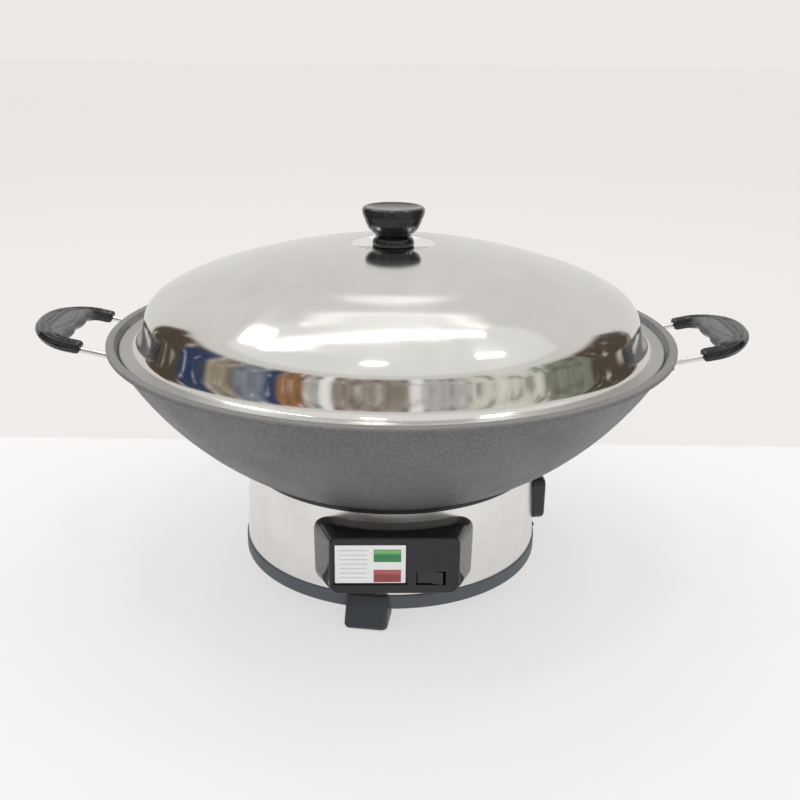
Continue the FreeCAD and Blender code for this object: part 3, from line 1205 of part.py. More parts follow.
def lid_shell():
    """Spun sheet with a rolled edge, a hollow skirt, a shallow dome and a sunk seat for the knob."""
    bore = LID_SCREW_RADIUS + HOLE_GAP
    sink = LID_PLATEAU_RADIUS - KNOB_SEAT_DEPTH
    outside = dome_outside()
    plateau = point(LID_PLATEAU_RADIUS, PLATEAU_HEIGHT)
    plateau_inside = point(LID_PLATEAU_RADIUS, PLATEAU_HEIGHT - LID_SHEET)
    seat_edge = point(sink, KNOB_SEAT)
    seat_edge_inside = point(sink, KNOB_SEAT - LID_SHEET)
    hole_top = point(bore, KNOB_SEAT)
    hole_bottom = point(bore, KNOB_SEAT - LID_SHEET)
    rim_top = point(BEAD_TRACK, BEAD_HEIGHT + LID_SHEET / 2)
    rim_bottom = point(BEAD_TRACK, BEAD_HEIGHT - LID_SHEET / 2)
    flange = point(FLANGE_RADIUS, FLANGE_TOP)
    flange_inside = point(FLANGE_RADIUS, FLANGE_TOP - LID_SHEET)
    section = Part.Wire([
        line(rim_top, flange), skirt_line(0), outside.toShape(), line(plateau, seat_edge),
        line(seat_edge, hole_top), line(hole_top, hole_bottom), line(hole_bottom, seat_edge_inside),
        line(seat_edge_inside, plateau_inside), dome_inside(outside, plateau_inside).toShape(),
        skirt_line(LID_SHEET), line(flange_inside, rim_bottom), line(rim_bottom, rim_top)])
    bead = Part.makeTorus(BEAD_TRACK, LID_BEAD_RADIUS, Vector(0, 0, BEAD_HEIGHT))
    return spin(Part.makeFace(section, "Part::FaceMakerSimple")).fuse(bead)


def collar_top():
    return KNOB_SEAT + COLLAR_HEIGHT


def knob_collar():
    """Heat shield between lid and knob."""
    return spin_polygon([(LID_SCREW_RADIUS + HOLE_GAP, KNOB_SEAT), (COLLAR_RADIUS, KNOB_SEAT),
                         (COLLAR_TOP_RADIUS, collar_top()), (LID_SCREW_RADIUS + HOLE_GAP, collar_top())])


def lid_knob():
    """A cup-shaped knob: it flares from a narrow neck to a rounded edge around a dished top."""
    base = collar_top()
    flank = [point(radius, base + rise) for radius, rise in KNOB_FLANK_POINTS]
    top = base + KNOB_HEIGHT
    widest, turn_in = flank[-1], point(flank[-1].x - KNOB_EDGE_ROUND, top)
    diagonal = KNOB_EDGE_ROUND * (1 - math.sqrt(0.5))
    shoulder = point(widest.x - diagonal, top - diagonal)
    dish_bottom = point(0, top - KNOB_DISH_DEPTH)
    dish_curve = (turn_in.x ** 2 + KNOB_DISH_DEPTH ** 2) / (2 * KNOB_DISH_DEPTH)
    half_way = turn_in.x / 2
    dish_middle = point(half_way, dish_bottom.z + dish_curve - math.sqrt(dish_curve ** 2 - half_way ** 2))
    curve = Part.BSplineCurve()
    curve.interpolate(Points=flank, InitialTangent=Vector(1, 0, 0), FinalTangent=UP, Scale=False)
    knob = spin(Part.Face(Part.Wire([
        line(point(0, base), point(flank[0].x, base)), line(point(flank[0].x, base), flank[0]),
        curve.toShape(), arc(widest, shoulder, turn_in), arc(turn_in, dish_middle, dish_bottom),
        line(dish_bottom, point(0, base))])))
    return knob.cut(disc(INSERT_RADIUS, base, INSERT_LENGTH))


def save_lid():
    save(lid_shell(), "lid_shell")
    save(knob_collar(), "knob_collar")
    save(lid_knob(), "lid_knob")
    base = collar_top()
    save(disc(INSERT_RADIUS, base, INSERT_LENGTH, LID_SCREW_RADIUS), "knob_insert")
    washer_bottom = KNOB_SEAT - LID_SHEET - LID_WASHER_THICKNESS
    washer_bore = LID_SCREW_RADIUS + HOLE_GAP
    save(disc(LID_WASHER_RADIUS, washer_bottom, LID_WASHER_THICKNESS, washer_bore), "lid_washer")
    shank = disc(LID_SCREW_RADIUS, washer_bottom, base + LID_SCREW_REACH - washer_bottom)
    head = disc(LID_SCREW_HEAD_RADIUS, washer_bottom - LID_SCREW_HEAD_HEIGHT, LID_SCREW_HEAD_HEIGHT)
    save(shank.fuse(head), "lid_screw")


def save_all():
    os.makedirs("parts", exist_ok=True)
    save(wok_bowl(), "wok_bowl")
    save_handles()
    save(base_band(), "base_band")
    save(base_ring(), "base_ring")
    save(seat_ring(), "seat_ring")
    for index, name in enumerate(("foot_front", "foot_right", "foot_left")):
        save(turn(foot(), FOOT_ANGLE + 360.0 / FOOT_COUNT * index), name)
    save(foot_screws(), "foot_screws")
    save(base_plate(), "base_plate")
    save(plate_screws(), "plate_screws")
    save_stud_and_nuts()
    save(heating_element(), "heating_element")
    save(element_pins(), "element_pins")
    save(element_clamp(), "element_clamp")
    save(reflector_dish(), "reflector_dish")
    save(element_bushes(), "element_bushes")
    save(limiter(), "limiter")
    save(limiter_bracket(), "limiter_bracket")
    save(terminal_block(), "terminal_block")
    save(earth_tag(), "earth_tag")
    save(earth_screw(), "earth_screw")
    save_leads()
    save_control_box()
    save_inlet()
    save_lid()


save_all()
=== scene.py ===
import math

import bmesh
import bpy
from mathutils import Matrix, Vector
from mathutils.bvhtree import BVHTree
from mathutils.geometry import interpolate_bezier


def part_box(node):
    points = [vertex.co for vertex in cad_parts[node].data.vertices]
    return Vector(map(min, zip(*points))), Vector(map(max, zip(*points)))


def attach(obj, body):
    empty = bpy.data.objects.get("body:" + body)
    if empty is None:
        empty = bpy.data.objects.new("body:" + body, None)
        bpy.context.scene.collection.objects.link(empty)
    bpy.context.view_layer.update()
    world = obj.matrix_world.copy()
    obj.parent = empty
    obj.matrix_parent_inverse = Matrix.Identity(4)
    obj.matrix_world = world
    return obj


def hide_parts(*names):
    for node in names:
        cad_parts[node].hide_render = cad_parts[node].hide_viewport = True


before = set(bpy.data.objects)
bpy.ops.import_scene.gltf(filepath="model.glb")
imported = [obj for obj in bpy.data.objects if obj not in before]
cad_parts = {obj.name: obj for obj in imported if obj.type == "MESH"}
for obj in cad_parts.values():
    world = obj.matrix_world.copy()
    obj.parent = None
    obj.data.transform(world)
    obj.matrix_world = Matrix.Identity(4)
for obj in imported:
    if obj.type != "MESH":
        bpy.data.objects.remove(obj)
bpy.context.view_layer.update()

scene = bpy.context.scene
scene.view_settings.view_transform = "Standard"


# Camera -------------------------------------------------------------------------------------------
# It stands two thirds of a metre in front of the wok, looks down on the lid from over the control
# box, and leans a little to one side.

EYE = Vector((0.0058, -0.6637, 0.3544))
LOOK_DOWN = math.radians(19.8)
LEAN = math.radians(0.73)
SENSOR = 36.0
LENS = 45.05

camera_data = bpy.data.cameras.new("camera")
camera_data.sensor_width = SENSOR
camera_data.lens = LENS
camera = bpy.data.objects.new("camera", camera_data)
camera.matrix_world = (Matrix.Translation(EYE) @ Matrix.Rotation(math.pi / 2 - LOOK_DOWN, 4, "X")
                       @ Matrix.Rotation(LEAN, 4, "Z"))
scene.collection.objects.link(camera)
scene.camera = camera


# Studio -------------------------------------------------------------------------------------------
# A white table top stands in front of a pale wall, in soft, even light from all round, with a tube
# and a few small lamps on the ceiling. Polished metal also mirrors the room in front of the table,
# where brown, blue and tan panels stand between pale ones.

FLOOR_SIZE = 30.0
FLOOR_WHITE = (0.86, 0.85, 0.845, 1.0)
FLOOR_SHADE = (0.84, 0.83, 0.825, 1.0)
FLOOR_BEHIND = (0.80, 0.775, 0.76, 1.0)
MOTTLE_SIZE = 0.25
TABLE_BACK = 0.203
TABLE_EDGE = 0.004
# Where the table and what lies beyond it are seen, they are lifted this far to these colours
FLOOR_LIFT = 0.62
FLOOR_GLOW = (0.95, 0.93, 0.925, 1.0)
BEHIND_GLOW = (0.85, 0.82, 0.795, 1.0)
# In polish, the table ends this far from the wok and the room goes on below it
TABLE_REACH = 0.75
REACH_FADE = 0.02
# The wall as the camera sees it, and the light that falls on everything
BACKDROP = (0.84, 0.81, 0.79, 1.0)
EVEN_LIGHT = (0.96, 0.96, 0.96, 1.0)

WALL = (0.79, 0.775, 0.745, 1.0)
CEILING = (0.93, 0.92, 0.89, 1.0)
PALE = (0.52, 0.51, 0.48, 1.0)
BRIGHT = (1.0, 0.99, 0.97, 1.0)
GREY = (0.34, 0.29, 0.245, 1.0)
CREAM = (0.72, 0.70, 0.62, 1.0)
MISTY = (0.24, 0.27, 0.34, 1.0)
TAN = (0.34, 0.28, 0.21, 1.0)
BROWN = (0.09, 0.065, 0.045, 1.0)
ORANGE = (0.34, 0.17, 0.08, 1.0)
BLUE = (0.03, 0.055, 0.13, 1.0)
OLIVE = (0.24, 0.255, 0.20, 1.0)
# The panels round the table: how far each reaches, in degrees to the right of straight in front,
# and its colour. They end below the wall's top, and the wall ends at the ceiling, over spans of
# the sine of the elevation.
ROOM_PANELS = ((-132, WALL), (-104, BROWN), (-86, BLUE), (-70, TAN), (-55, MISTY), (-49, BLUE),
               (-37, ORANGE), (-30, PALE), (-25, BRIGHT), (8, GREY), (14, BRIGHT), (34, PALE),
               (68, CREAM), (96, OLIVE), (132, BROWN), (180, WALL))
FULL_TURN = 360.0
PANEL_EDGE = 0.9
PANEL_TOPS = (0.50, 0.57)
CEILING_EDGE = (0.715, 0.735)
# A lit strip runs where the wall behind meets the ceiling
STRIP = (1.6, 1.58, 1.52, 1.0)
STRIP_HEIGHTS = (0.732, 0.764)
STRIP_EDGE = 0.006
STRIP_BEARING = math.radians(160.0)
STRIP_FADE = 0.03
# Clutter on the panels, darker and paler than they are, where its noise passes these levels
CLUTTER_SIZE = 0.10
CLUTTER_RISE = 0.3
CLUTTER_BEARING = math.radians(130.0)
CLUTTER_FADE = 0.05
CLUTTER_SHOW = 0.6
CLUTTER_DARK = (0.10, 0.085, 0.07, 1.0)
CLUTTER_PALE = (0.95, 0.94, 0.90, 1.0)
DARK_LEVELS = (0.48, 0.40)
PALE_LEVELS = (0.56, 0.66)
# Most values of a noise lie between these two
NOISE_SPAN = (0.3, 0.7)

LAMP_HEIGHT = 1.7
LAMP_AIM = Vector((0.0, 0.0, 0.2))
# Each lamp: its place over the table, its size and its power
LAMPS = (("tube", (-0.2, 0.65), (1.5, 0.055), 3.4),
         ("near_lamp", (-0.13, -0.35), (0.16, 0.16), 1.6),
         ("right_lamp", (0.66, 0.21), (0.3, 0.2), 1.6),
         ("left_lamp", (-0.85, 0.85), (0.2, 0.2), 1.6))


def linked(tree, source, target):
    tree.links.new(source, target)


def mixed(tree, factor, first, second):
    """Colour that goes from first to second by a factor; each is a colour or a socket."""
    mix = tree.nodes.new("ShaderNodeMix")
    mix.data_type = "RGBA"
    linked(tree, factor, mix.inputs["Factor"])
    for colour, socket in ((first, mix.inputs["A"]), (second, mix.inputs["B"])):
        if isinstance(colour, tuple):
            socket.default_value = colour
        else:
            linked(tree, colour, socket)
    return mix.outputs["Result"]


def mapped(tree, value, low, high, to_low=0.0, to_high=1.0):
    """The value's span from low to high drawn out over another one, and held at its ends."""
    remap = tree.nodes.new("ShaderNodeMapRange")
    remap.inputs["From Min"].default_value = low
    remap.inputs["From Max"].default_value = high
    remap.inputs["To Min"].default_value = to_low
    remap.inputs["To Max"].default_value = to_high
    linked(tree, value, remap.inputs["Value"])
    return remap.outputs["Result"]


def computed(tree, operation, first, second=None):
    """A Math node; its second input may be a socket or a number."""
    node = tree.nodes.new("ShaderNodeMath")
    node.operation = operation
    linked(tree, first, node.inputs[0])
    if isinstance(second, float):
        node.inputs[1].default_value = second
    elif second is not None:
        linked(tree, second, node.inputs[1])
    return node.outputs["Value"]


def split(tree, vector):
    parts = tree.nodes.new("ShaderNodeSeparateXYZ")
    linked(tree, vector, parts.inputs["Vector"])
    return parts.outputs


def noise_node(tree, vector, size, detail=4.0, rough=0.5):
    """Noise whose features are about size metres across."""
    noise = tree.nodes.new("ShaderNodeTexNoise")
    noise.inputs["Scale"].default_value = 1.0 / size
    noise.inputs["Detail"].default_value = detail
    noise.inputs["Roughness"].default_value = rough
    linked(tree, vector, noise.inputs["Vector"])
    return noise.outputs["Fac"]


def object_place(tree):
    return tree.nodes.new("ShaderNodeTexCoord").outputs["Object"]


def ray_kinds(tree):
    """Whether a ray comes from the camera, and whether one comes off or through something shiny."""
    path = tree.nodes.new("ShaderNodeLightPath").outputs
    mirrored = computed(tree, "MAXIMUM", path["Is Glossy Ray"], path["Is Transmission Ray"])
    return path["Is Camera Ray"], mirrored


def panel_colour(tree, bearing):
    """The colour of the panel that stands at a bearing."""
    ramp = tree.nodes.new("ShaderNodeValToRGB")
    elements = ramp.color_ramp.elements
    elements.remove(elements[1])
    start, first_colour = ROOM_PANELS[0]
    elements[0].color = first_colour
    elements[0].position = (start - PANEL_EDGE) / FULL_TURN + 0.5
    for end, colour in ROOM_PANELS[1:]:
        for degrees in (start + PANEL_EDGE, end - PANEL_EDGE):
            elements.new(degrees / FULL_TURN + 0.5).color = colour
        start = end
    linked(tree, mapped(tree, bearing, -math.pi, math.pi), ramp.inputs["Fac"])
    return ramp.outputs["Color"]


def cluttered(tree, colour, bearing, height):
    """Clutter over a colour, as far round as the panels go."""
    around = tree.nodes.new("ShaderNodeCombineXYZ")
    linked(tree, bearing, around.inputs["X"])
    linked(tree, computed(tree, "MULTIPLY", height, CLUTTER_RISE), around.inputs["Y"])
    clutter = noise_node(tree, around.outputs["Vector"], CLUTTER_SIZE, detail=5.0, rough=0.6)
    front = mapped(tree, computed(tree, "ABSOLUTE", bearing), CLUTTER_BEARING + CLUTTER_FADE,
                   CLUTTER_BEARING)
    for shade, levels in ((CLUTTER_DARK, DARK_LEVELS), (CLUTTER_PALE, PALE_LEVELS)):
        show = computed(tree, "MULTIPLY", front, mapped(tree, clutter, *levels, 0.0, CLUTTER_SHOW))
        colour = mixed(tree, show, colour, shade)
    return colour


def room_colour(tree, direction):
    """The panels round the table, the wall, its lit strip and the ceiling, by direction."""
    across = split(tree, direction)
    height = across["Z"]
    bearing = computed(tree, "ARCTAN2", across["X"], computed(tree, "MULTIPLY", across["Y"], -1.0))
    panels = cluttered(tree, panel_colour(tree, bearing), bearing, height)
    wall = mixed(tree, mapped(tree, height, *PANEL_TOPS), panels, WALL)
    above = mixed(tree, mapped(tree, height, *CEILING_EDGE), wall, CEILING)
    low, high = STRIP_HEIGHTS
    rising = mapped(tree, height, low, low + STRIP_EDGE)
    falling = mapped(tree, height, high, high - STRIP_EDGE)
    behind = mapped(tree, computed(tree, "ABSOLUTE", bearing), STRIP_BEARING - STRIP_FADE,
                    STRIP_BEARING)
    strip = computed(tree, "MULTIPLY", behind, computed(tree, "MULTIPLY", rising, falling))
    return mixed(tree, strip, above, STRIP)


def surroundings():
    """Even light on everything, the room in what shines, and the wall's colour behind it all."""
    world = bpy.data.worlds.new("studio")
    scene.world = world
    world.use_nodes = True
    tree = world.node_tree
    direction = tree.nodes.new("ShaderNodeTexCoord").outputs["Generated"]
    seen, mirrored = ray_kinds(tree)
    around = mixed(tree, mirrored, EVEN_LIGHT, room_colour(tree, direction))
    linked(tree, mixed(tree, seen, around, BACKDROP), tree.nodes["Background"].inputs["Color"])


def blended(tree, factor, first, second):
    """Goes from one shader's output to another's by a factor."""
    mix = tree.nodes.new("ShaderNodeMixShader")
    linked(tree, factor, mix.inputs["Fac"])
    linked(tree, first, mix.inputs[1])
    linked(tree, second, mix.inputs[2])
    return mix.outputs["Shader"]


def new_shader(name):
    material = bpy.data.materials.new(name)
    material.use_nodes = True
    return material, material.node_tree, material.node_tree.nodes["Principled BSDF"]


def table_white():
    """White board, lifted towards its own glow where it is seen, that ends early in polish."""
    material, tree, shader = new_shader("table_white")
    shader.inputs["Roughness"].default_value = 0.8
    shader.inputs["Specular IOR Level"].default_value = 0.15
    place = object_place(tree)
    mottle = mapped(tree, noise_node(tree, place, MOTTLE_SIZE, detail=3.0), *NOISE_SPAN)
    white = mixed(tree, mottle, FLOOR_SHADE, FLOOR_WHITE)
    beyond = mapped(tree, split(tree, place)["Y"], TABLE_BACK, TABLE_BACK + TABLE_EDGE)
    linked(tree, mixed(tree, beyond, white, FLOOR_BEHIND), shader.inputs["Base Color"])
    glow = tree.nodes.new("ShaderNodeEmission")
    linked(tree, mixed(tree, beyond, FLOOR_GLOW, BEHIND_GLOW), glow.inputs["Color"])
    seen, mirrored = ray_kinds(tree)
    either = computed(tree, "MAXIMUM", mirrored, seen)
    lifted = blended(tree, computed(tree, "MULTIPLY", either, FLOOR_LIFT), shader.outputs["BSDF"],
                     glow.outputs["Emission"])
    away = tree.nodes.new("ShaderNodeVectorMath")
    away.operation = "LENGTH"
    linked(tree, place, away.inputs[0])
    past_table = mapped(tree, away.outputs["Value"], TABLE_REACH, TABLE_REACH + REACH_FADE)
    nothing = tree.nodes.new("ShaderNodeBsdfTransparent").outputs["BSDF"]
    surface = blended(tree, computed(tree, "MULTIPLY", mirrored, past_table), lifted, nothing)
    linked(tree, surface, tree.nodes["Material Output"].inputs["Surface"])
    return material


def table_top():
    shape = bmesh.new()
    bmesh.ops.create_grid(shape, x_segments=1, y_segments=1, size=FLOOR_SIZE / 2)
    mesh = bpy.data.meshes.new("table_top")
    shape.to_mesh(mesh)
    shape.free()
    mesh.materials.append(table_white())
    top = bpy.data.objects.new("table_top", mesh)
    scene.collection.objects.link(top)


def ceiling_lamp(name, across, size, power):
    """A rectangular lamp on the ceiling that points at the wok."""
    light = bpy.data.lights.new(name, "AREA")
    light.shape = "RECTANGLE"
    light.size, light.size_y = size
    light.energy = power
    holder = bpy.data.objects.new(name, light)
    place = Vector((*across, LAMP_HEIGHT))
    turn = (LAMP_AIM - place).to_track_quat("-Z", "Y").to_matrix().to_4x4()
    holder.matrix_world = Matrix.Translation(place) @ turn
    scene.collection.objects.link(holder)


surroundings()
table_top()
for lamp in LAMPS:
    ceiling_lamp(*lamp)


# Bowl ---------------------------------------------------------------------------------------------
# The bowl is one grey-iron casting with a flat rim and four lugs that take the handle rods. Its
# skin is oiled and finely pebbled from the sand mould, and the rim is rubbed paler.

IRON = (0.113, 0.111, 0.113, 1.0)
IRON_PALE = (0.20, 0.197, 0.20, 1.0)
IRON_DARK = (0.088, 0.087, 0.088, 1.0)
IRON_RUBBED = (0.21, 0.20, 0.195, 1.0)
IRON_ROUGHNESS = (0.52, 0.40)
PEBBLE_SIZE = 0.0013
PEBBLE_LEVELS = (0.40, 0.64)
PEBBLE_SHOW = 0.6
PEBBLE_DEPTH = 0.00035
# The rubbed rim: where it starts outwards and upwards, and how much of it the grain leaves bare
RIM_INSIDE = 0.1845
RIM_EDGE = 0.0006
RIM_HEIGHTS = (0.1660, 0.1676)
RUB_LEVELS = (0.25, 0.6)
RUB_SHOW = (0.45, 1.0)
# Grain of a broad surface, such as the bowl's, and the size of the blotches that handling leaves
BROAD_GRAIN = 0.0009
BLOTCH_SIZE = 0.035

MERGE_DISTANCE = 0.00001
FLAT_ANGLE = math.radians(0.3)
BOWL_CREASE = 38.0


def merged_mesh(node, name, crease=30.0):
    """A solid's triangles joined to one skin that is smooth between its creases."""
    shape = bmesh.new()
    shape.from_mesh(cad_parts[node].data)
    bmesh.ops.remove_doubles(shape, verts=shape.verts, dist=MERGE_DISTANCE)
    bmesh.ops.dissolve_limit(shape, angle_limit=FLAT_ANGLE, verts=shape.verts, edges=shape.edges)
    mesh = bpy.data.meshes.new(name)
    shape.to_mesh(mesh)
    shape.free()
    mesh.materials.clear()
    mesh.shade_smooth()
    mesh.set_sharp_from_angle(angle=math.radians(crease))
    return mesh


def add_piece(mesh, material, slot, body, *nodes):
    """The mesh as a piece of a body, in place of the solids named."""
    piece = bpy.data.objects.new(mesh.name, mesh)
    scene.collection.objects.link(piece)
    mesh.materials.append(material)
    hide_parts(*nodes)
    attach(piece, body)
    return piece


def even_normals(piece):
    """Lets broad faces stay flat beside narrow rounded edges."""
    weighted = piece.modifiers.new("even_normals", "WEIGHTED_NORMAL")
    weighted.keep_sharp = True


def skin_group():
    """Blotches of handling and a fine grain, as masks; the grain's scale is an input."""
    group = bpy.data.node_groups.new("handled_skin", "ShaderNodeTree")
    group.interface.new_socket("Place", in_out="INPUT", socket_type="NodeSocketVector")
    group.interface.new_socket("Grain Scale", in_out="INPUT", socket_type="NodeSocketFloat")
    for name in ("Blotch", "Grain"):
        group.interface.new_socket(name, in_out="OUTPUT", socket_type="NodeSocketFloat")
    source = group.nodes.new("NodeGroupInput")
    target = group.nodes.new("NodeGroupOutput")
    place = source.outputs["Place"]
    blotch = noise_node(group, place, BLOTCH_SIZE, detail=5.0, rough=0.6)
    linked(group, mapped(group, blotch, *NOISE_SPAN), target.inputs["Blotch"])
    grain = group.nodes.new("ShaderNodeTexNoise")
    grain.inputs["Detail"].default_value = 3.0
    linked(group, place, grain.inputs["Vector"])
    linked(group, source.outputs["Grain Scale"], grain.inputs["Scale"])
    linked(group, grain.outputs["Fac"], target.inputs["Grain"])
    return group


HANDLED_SKIN = skin_group()


def skin(tree, grain_size, place=None):
    """The shared skin masks at one grain size, in metres."""
    node = tree.nodes.new("ShaderNodeGroup")
    node.node_tree = HANDLED_SKIN
    node.inputs["Grain Scale"].default_value = 1.0 / grain_size
    linked(tree, place or object_place(tree), node.inputs["Place"])
    return node.outputs


def ranged(tree, mask, ends):
    """A value that a mask moves from the first of two ends to the second."""
    return mapped(tree, mask, 0.0, 1.0, *ends)


def from_axis(tree, place):
    """Distance from the upright axis through the middle of the wok."""
    across = split(tree, place)
    squared = computed(tree, "ADD", computed(tree, "POWER", across["X"], 2.0),
                       computed(tree, "POWER", across["Y"], 2.0))
    return computed(tree, "SQRT", squared)


def surfaced(tree, shader, colour, roughness):
    linked(tree, colour, shader.inputs["Base Color"])
    linked(tree, roughness, shader.inputs["Roughness"])


def bumped(tree, shader, height, depth, strength):
    """A bump of about depth metres from a height between 0 and 1."""
    bump = tree.nodes.new("ShaderNodeBump")
    bump.inputs["Strength"].default_value = strength
    bump.inputs["Distance"].default_value = depth
    linked(tree, height, bump.inputs["Height"])
    linked(tree, bump.outputs["Normal"], shader.inputs["Normal"])


def cast_iron():
    """Oiled iron under paler pebbles, rubbed along the rim."""
    material, tree, shader = new_shader("cast_iron")
    shader.inputs["Specular IOR Level"].default_value = 0.6
    place = object_place(tree)
    masks = skin(tree, BROAD_GRAIN, place)
    body = mixed(tree, masks["Blotch"], IRON_DARK, IRON)
    pebbles = mapped(tree, noise_node(tree, place, PEBBLE_SIZE, detail=2.0), *PEBBLE_LEVELS)
    pebbled = mixed(tree, computed(tree, "MULTIPLY", pebbles, PEBBLE_SHOW), body, IRON_PALE)
    outer = mapped(tree, from_axis(tree, place), RIM_INSIDE, RIM_INSIDE + RIM_EDGE)
    upper = mapped(tree, split(tree, place)["Z"], *RIM_HEIGHTS)
    rim = computed(tree, "MULTIPLY", outer, upper)
    rubbed = computed(tree, "MULTIPLY", rim, mapped(tree, masks["Grain"], *RUB_LEVELS, *RUB_SHOW))
    surfaced(tree, shader, mixed(tree, rubbed, pebbled, IRON_RUBBED),
             ranged(tree, masks["Blotch"], IRON_ROUGHNESS))
    bumped(tree, shader, pebbles, depth=PEBBLE_DEPTH, strength=0.6)
    return material


bowl = add_piece(merged_mesh("wok_bowl", "bowl", BOWL_CREASE), cast_iron(), "cast_iron", "wok",
                 "wok_bowl")
even_normals(bowl)


# Ear handles --------------------------------------------------------------------------------------
# Each handle is a bent rod of bright steel whose cross bar lies inside a moulded black grip. The
# grip's legs are round and glossy, its middle is matt where the hand holds it and grey on its
# upper and side faces, partly as wear and partly as painted sheen, with finger bulges on the
# inside and an oval groove round the top.

HANDLE_ROOT = Vector((0.181, 0.0, 0.157))
HANDLE_TILT = math.radians(12.0)
HANDLE_CREASE = 32.0
GRIP_VOXEL = 0.0006
GRIP_ROUNDING = 14
GRIP_FULLNESS = 0.0002
# The section is an ellipse out to this depth from the outline, on a thin edge of this share of its
# height
GRIP_ROUND = 0.0058
GRIP_EDGE = 0.2
# A face stands upright below this slope, and one at a leg's end looks inwards past this and lies
# within this depth of the innermost point
UPRIGHT_SLOPE = 0.3
LEG_END_FACING = -0.85
LEG_END_DEPTH = 0.002
GROOVE_MIDDLE = 0.04865
GROOVE_HALF = (0.0089, 0.0254)
GROOVE_SPREAD = 0.0007
GROOVE_DEPTH = 0.0007
GRIP_BLACK = (0.007, 0.007, 0.0075, 1.0)
# Grey of the matt middle: partly wear, partly painted sheen
GRIP_WORN_AND_SHEEN = (0.155, 0.155, 0.155, 1.0)
GRIP_WORN_AND_SHEEN_DARK = (0.10, 0.10, 0.101, 1.0)
GRIP_ROUGHNESS = (0.06, 0.5)
# The matt part, grey partly from wear and partly as painted sheen: how far along the grip, to
# each side, and how far round to its underside
HELD_HALF = (0.033, 0.029)
MATT_AND_SHEEN_FACING = (-0.7, -0.3)
FINE_GRAIN = 0.0006
STEEL = (0.80, 0.79, 0.77, 1.0)
STEEL_DULL = (0.66, 0.65, 0.635, 1.0)
ROD_ROUGHNESS = (0.22, 0.12)


def drawn_steel(name, colour, dull, roughness):
    """Bare metal with faint drawing marks, duller in blotches where it was handled."""
    material, tree, shader = new_shader(name)
    shader.inputs["Metallic"].default_value = 1.0
    masks = skin(tree, FINE_GRAIN)
    surfaced(tree, shader, mixed(tree, masks["Blotch"], dull, colour),
             ranged(tree, masks["Blotch"], roughness))
    bumped(tree, shader, masks["Grain"], depth=0.00004, strength=0.5)
    return material


def grip_black():
    """Glossy moulding that the hand has left matt along the middle, grey there except underneath,
    partly as wear and partly as painted sheen.
    """
    material, tree, shader = new_shader("grip_black")
    shader.inputs["Specular IOR Level"].default_value = 0.42
    place = object_place(tree)
    along = computed(tree, "ABSOLUTE", split(tree, place)["Y"])
    facing = split(tree, tree.nodes.new("ShaderNodeNewGeometry").outputs["Normal"])
    matt_and_sheen = computed(tree, "MULTIPLY", mapped(tree, along, *HELD_HALF),
                    mapped(tree, facing["Z"], *MATT_AND_SHEEN_FACING))
    masks = skin(tree, FINE_GRAIN, place)
    worn_and_sheen = mixed(tree, masks["Grain"], GRIP_WORN_AND_SHEEN_DARK, GRIP_WORN_AND_SHEEN)
    surfaced(tree, shader, mixed(tree, matt_and_sheen, GRIP_BLACK, worn_and_sheen), ranged(tree, matt_and_sheen, GRIP_ROUGHNESS))
    bumped(tree, shader, masks["Grain"], depth=0.00008, strength=0.35)
    return material


def grip_walls(side, out, up, root):
    """The upright faces of the grip's solid but the ends of its legs, to measure depths from."""
    shape = bmesh.new()
    shape.from_mesh(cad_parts[side + "_grip"].data)
    nearest = min((vertex.co - root).dot(out) for vertex in shape.verts)
    left_out = []
    for face in shape.faces:
        reach = (face.calc_center_median() - root).dot(out)
        leg_end = face.normal.dot(out) < LEG_END_FACING and reach < nearest + LEG_END_DEPTH
        if leg_end or abs(face.normal.dot(up)) > UPRIGHT_SLOPE:
            left_out.append(face)
    bmesh.ops.delete(shape, geom=left_out, context="FACES")
    walls = BVHTree.FromBMesh(shape)
    shape.free()
    return walls


def rounded_blank(side):
    """The grip's solid as an even skin of small faces, with its sharp edges worn off."""
    blank = bpy.data.objects.new("grip_blank",
                                 merged_mesh(side + "_grip", "grip_blank", HANDLE_CREASE))
    scene.collection.objects.link(blank)
    voxels = blank.modifiers.new("voxels", "REMESH")
    voxels.mode = "VOXEL"
    voxels.voxel_size = GRIP_VOXEL
    voxels.use_smooth_shade = True
    rounding = blank.modifiers.new("rounding", "SMOOTH")
    rounding.iterations = GRIP_ROUNDING
    fullness = blank.modifiers.new("fullness", "DISPLACE")
    fullness.strength = GRIP_FULLNESS
    fullness.mid_level = 0.0
    finished = blank.evaluated_get(bpy.context.evaluated_depsgraph_get())
    mesh = bpy.data.meshes.new_from_object(finished)
    bpy.data.objects.remove(blank)
    mesh.name = side + "_handle"
    mesh.materials.clear()
    return mesh


def groove_share(reach, along):
    """How much of the groove's depth is found at a place on the top; it runs along an oval."""
    half_width, half_length = GROOVE_HALF
    flat = Vector(((reach - GROOVE_MIDDLE) / half_width, along / half_length))
    steep = Vector((flat.x / half_width, flat.y / half_length)).length / max(flat.length, 0.01)
    off = (flat.length - 1.0) / max(steep, 1.0)
    return math.exp(-(off / GROOVE_SPREAD) ** 2)


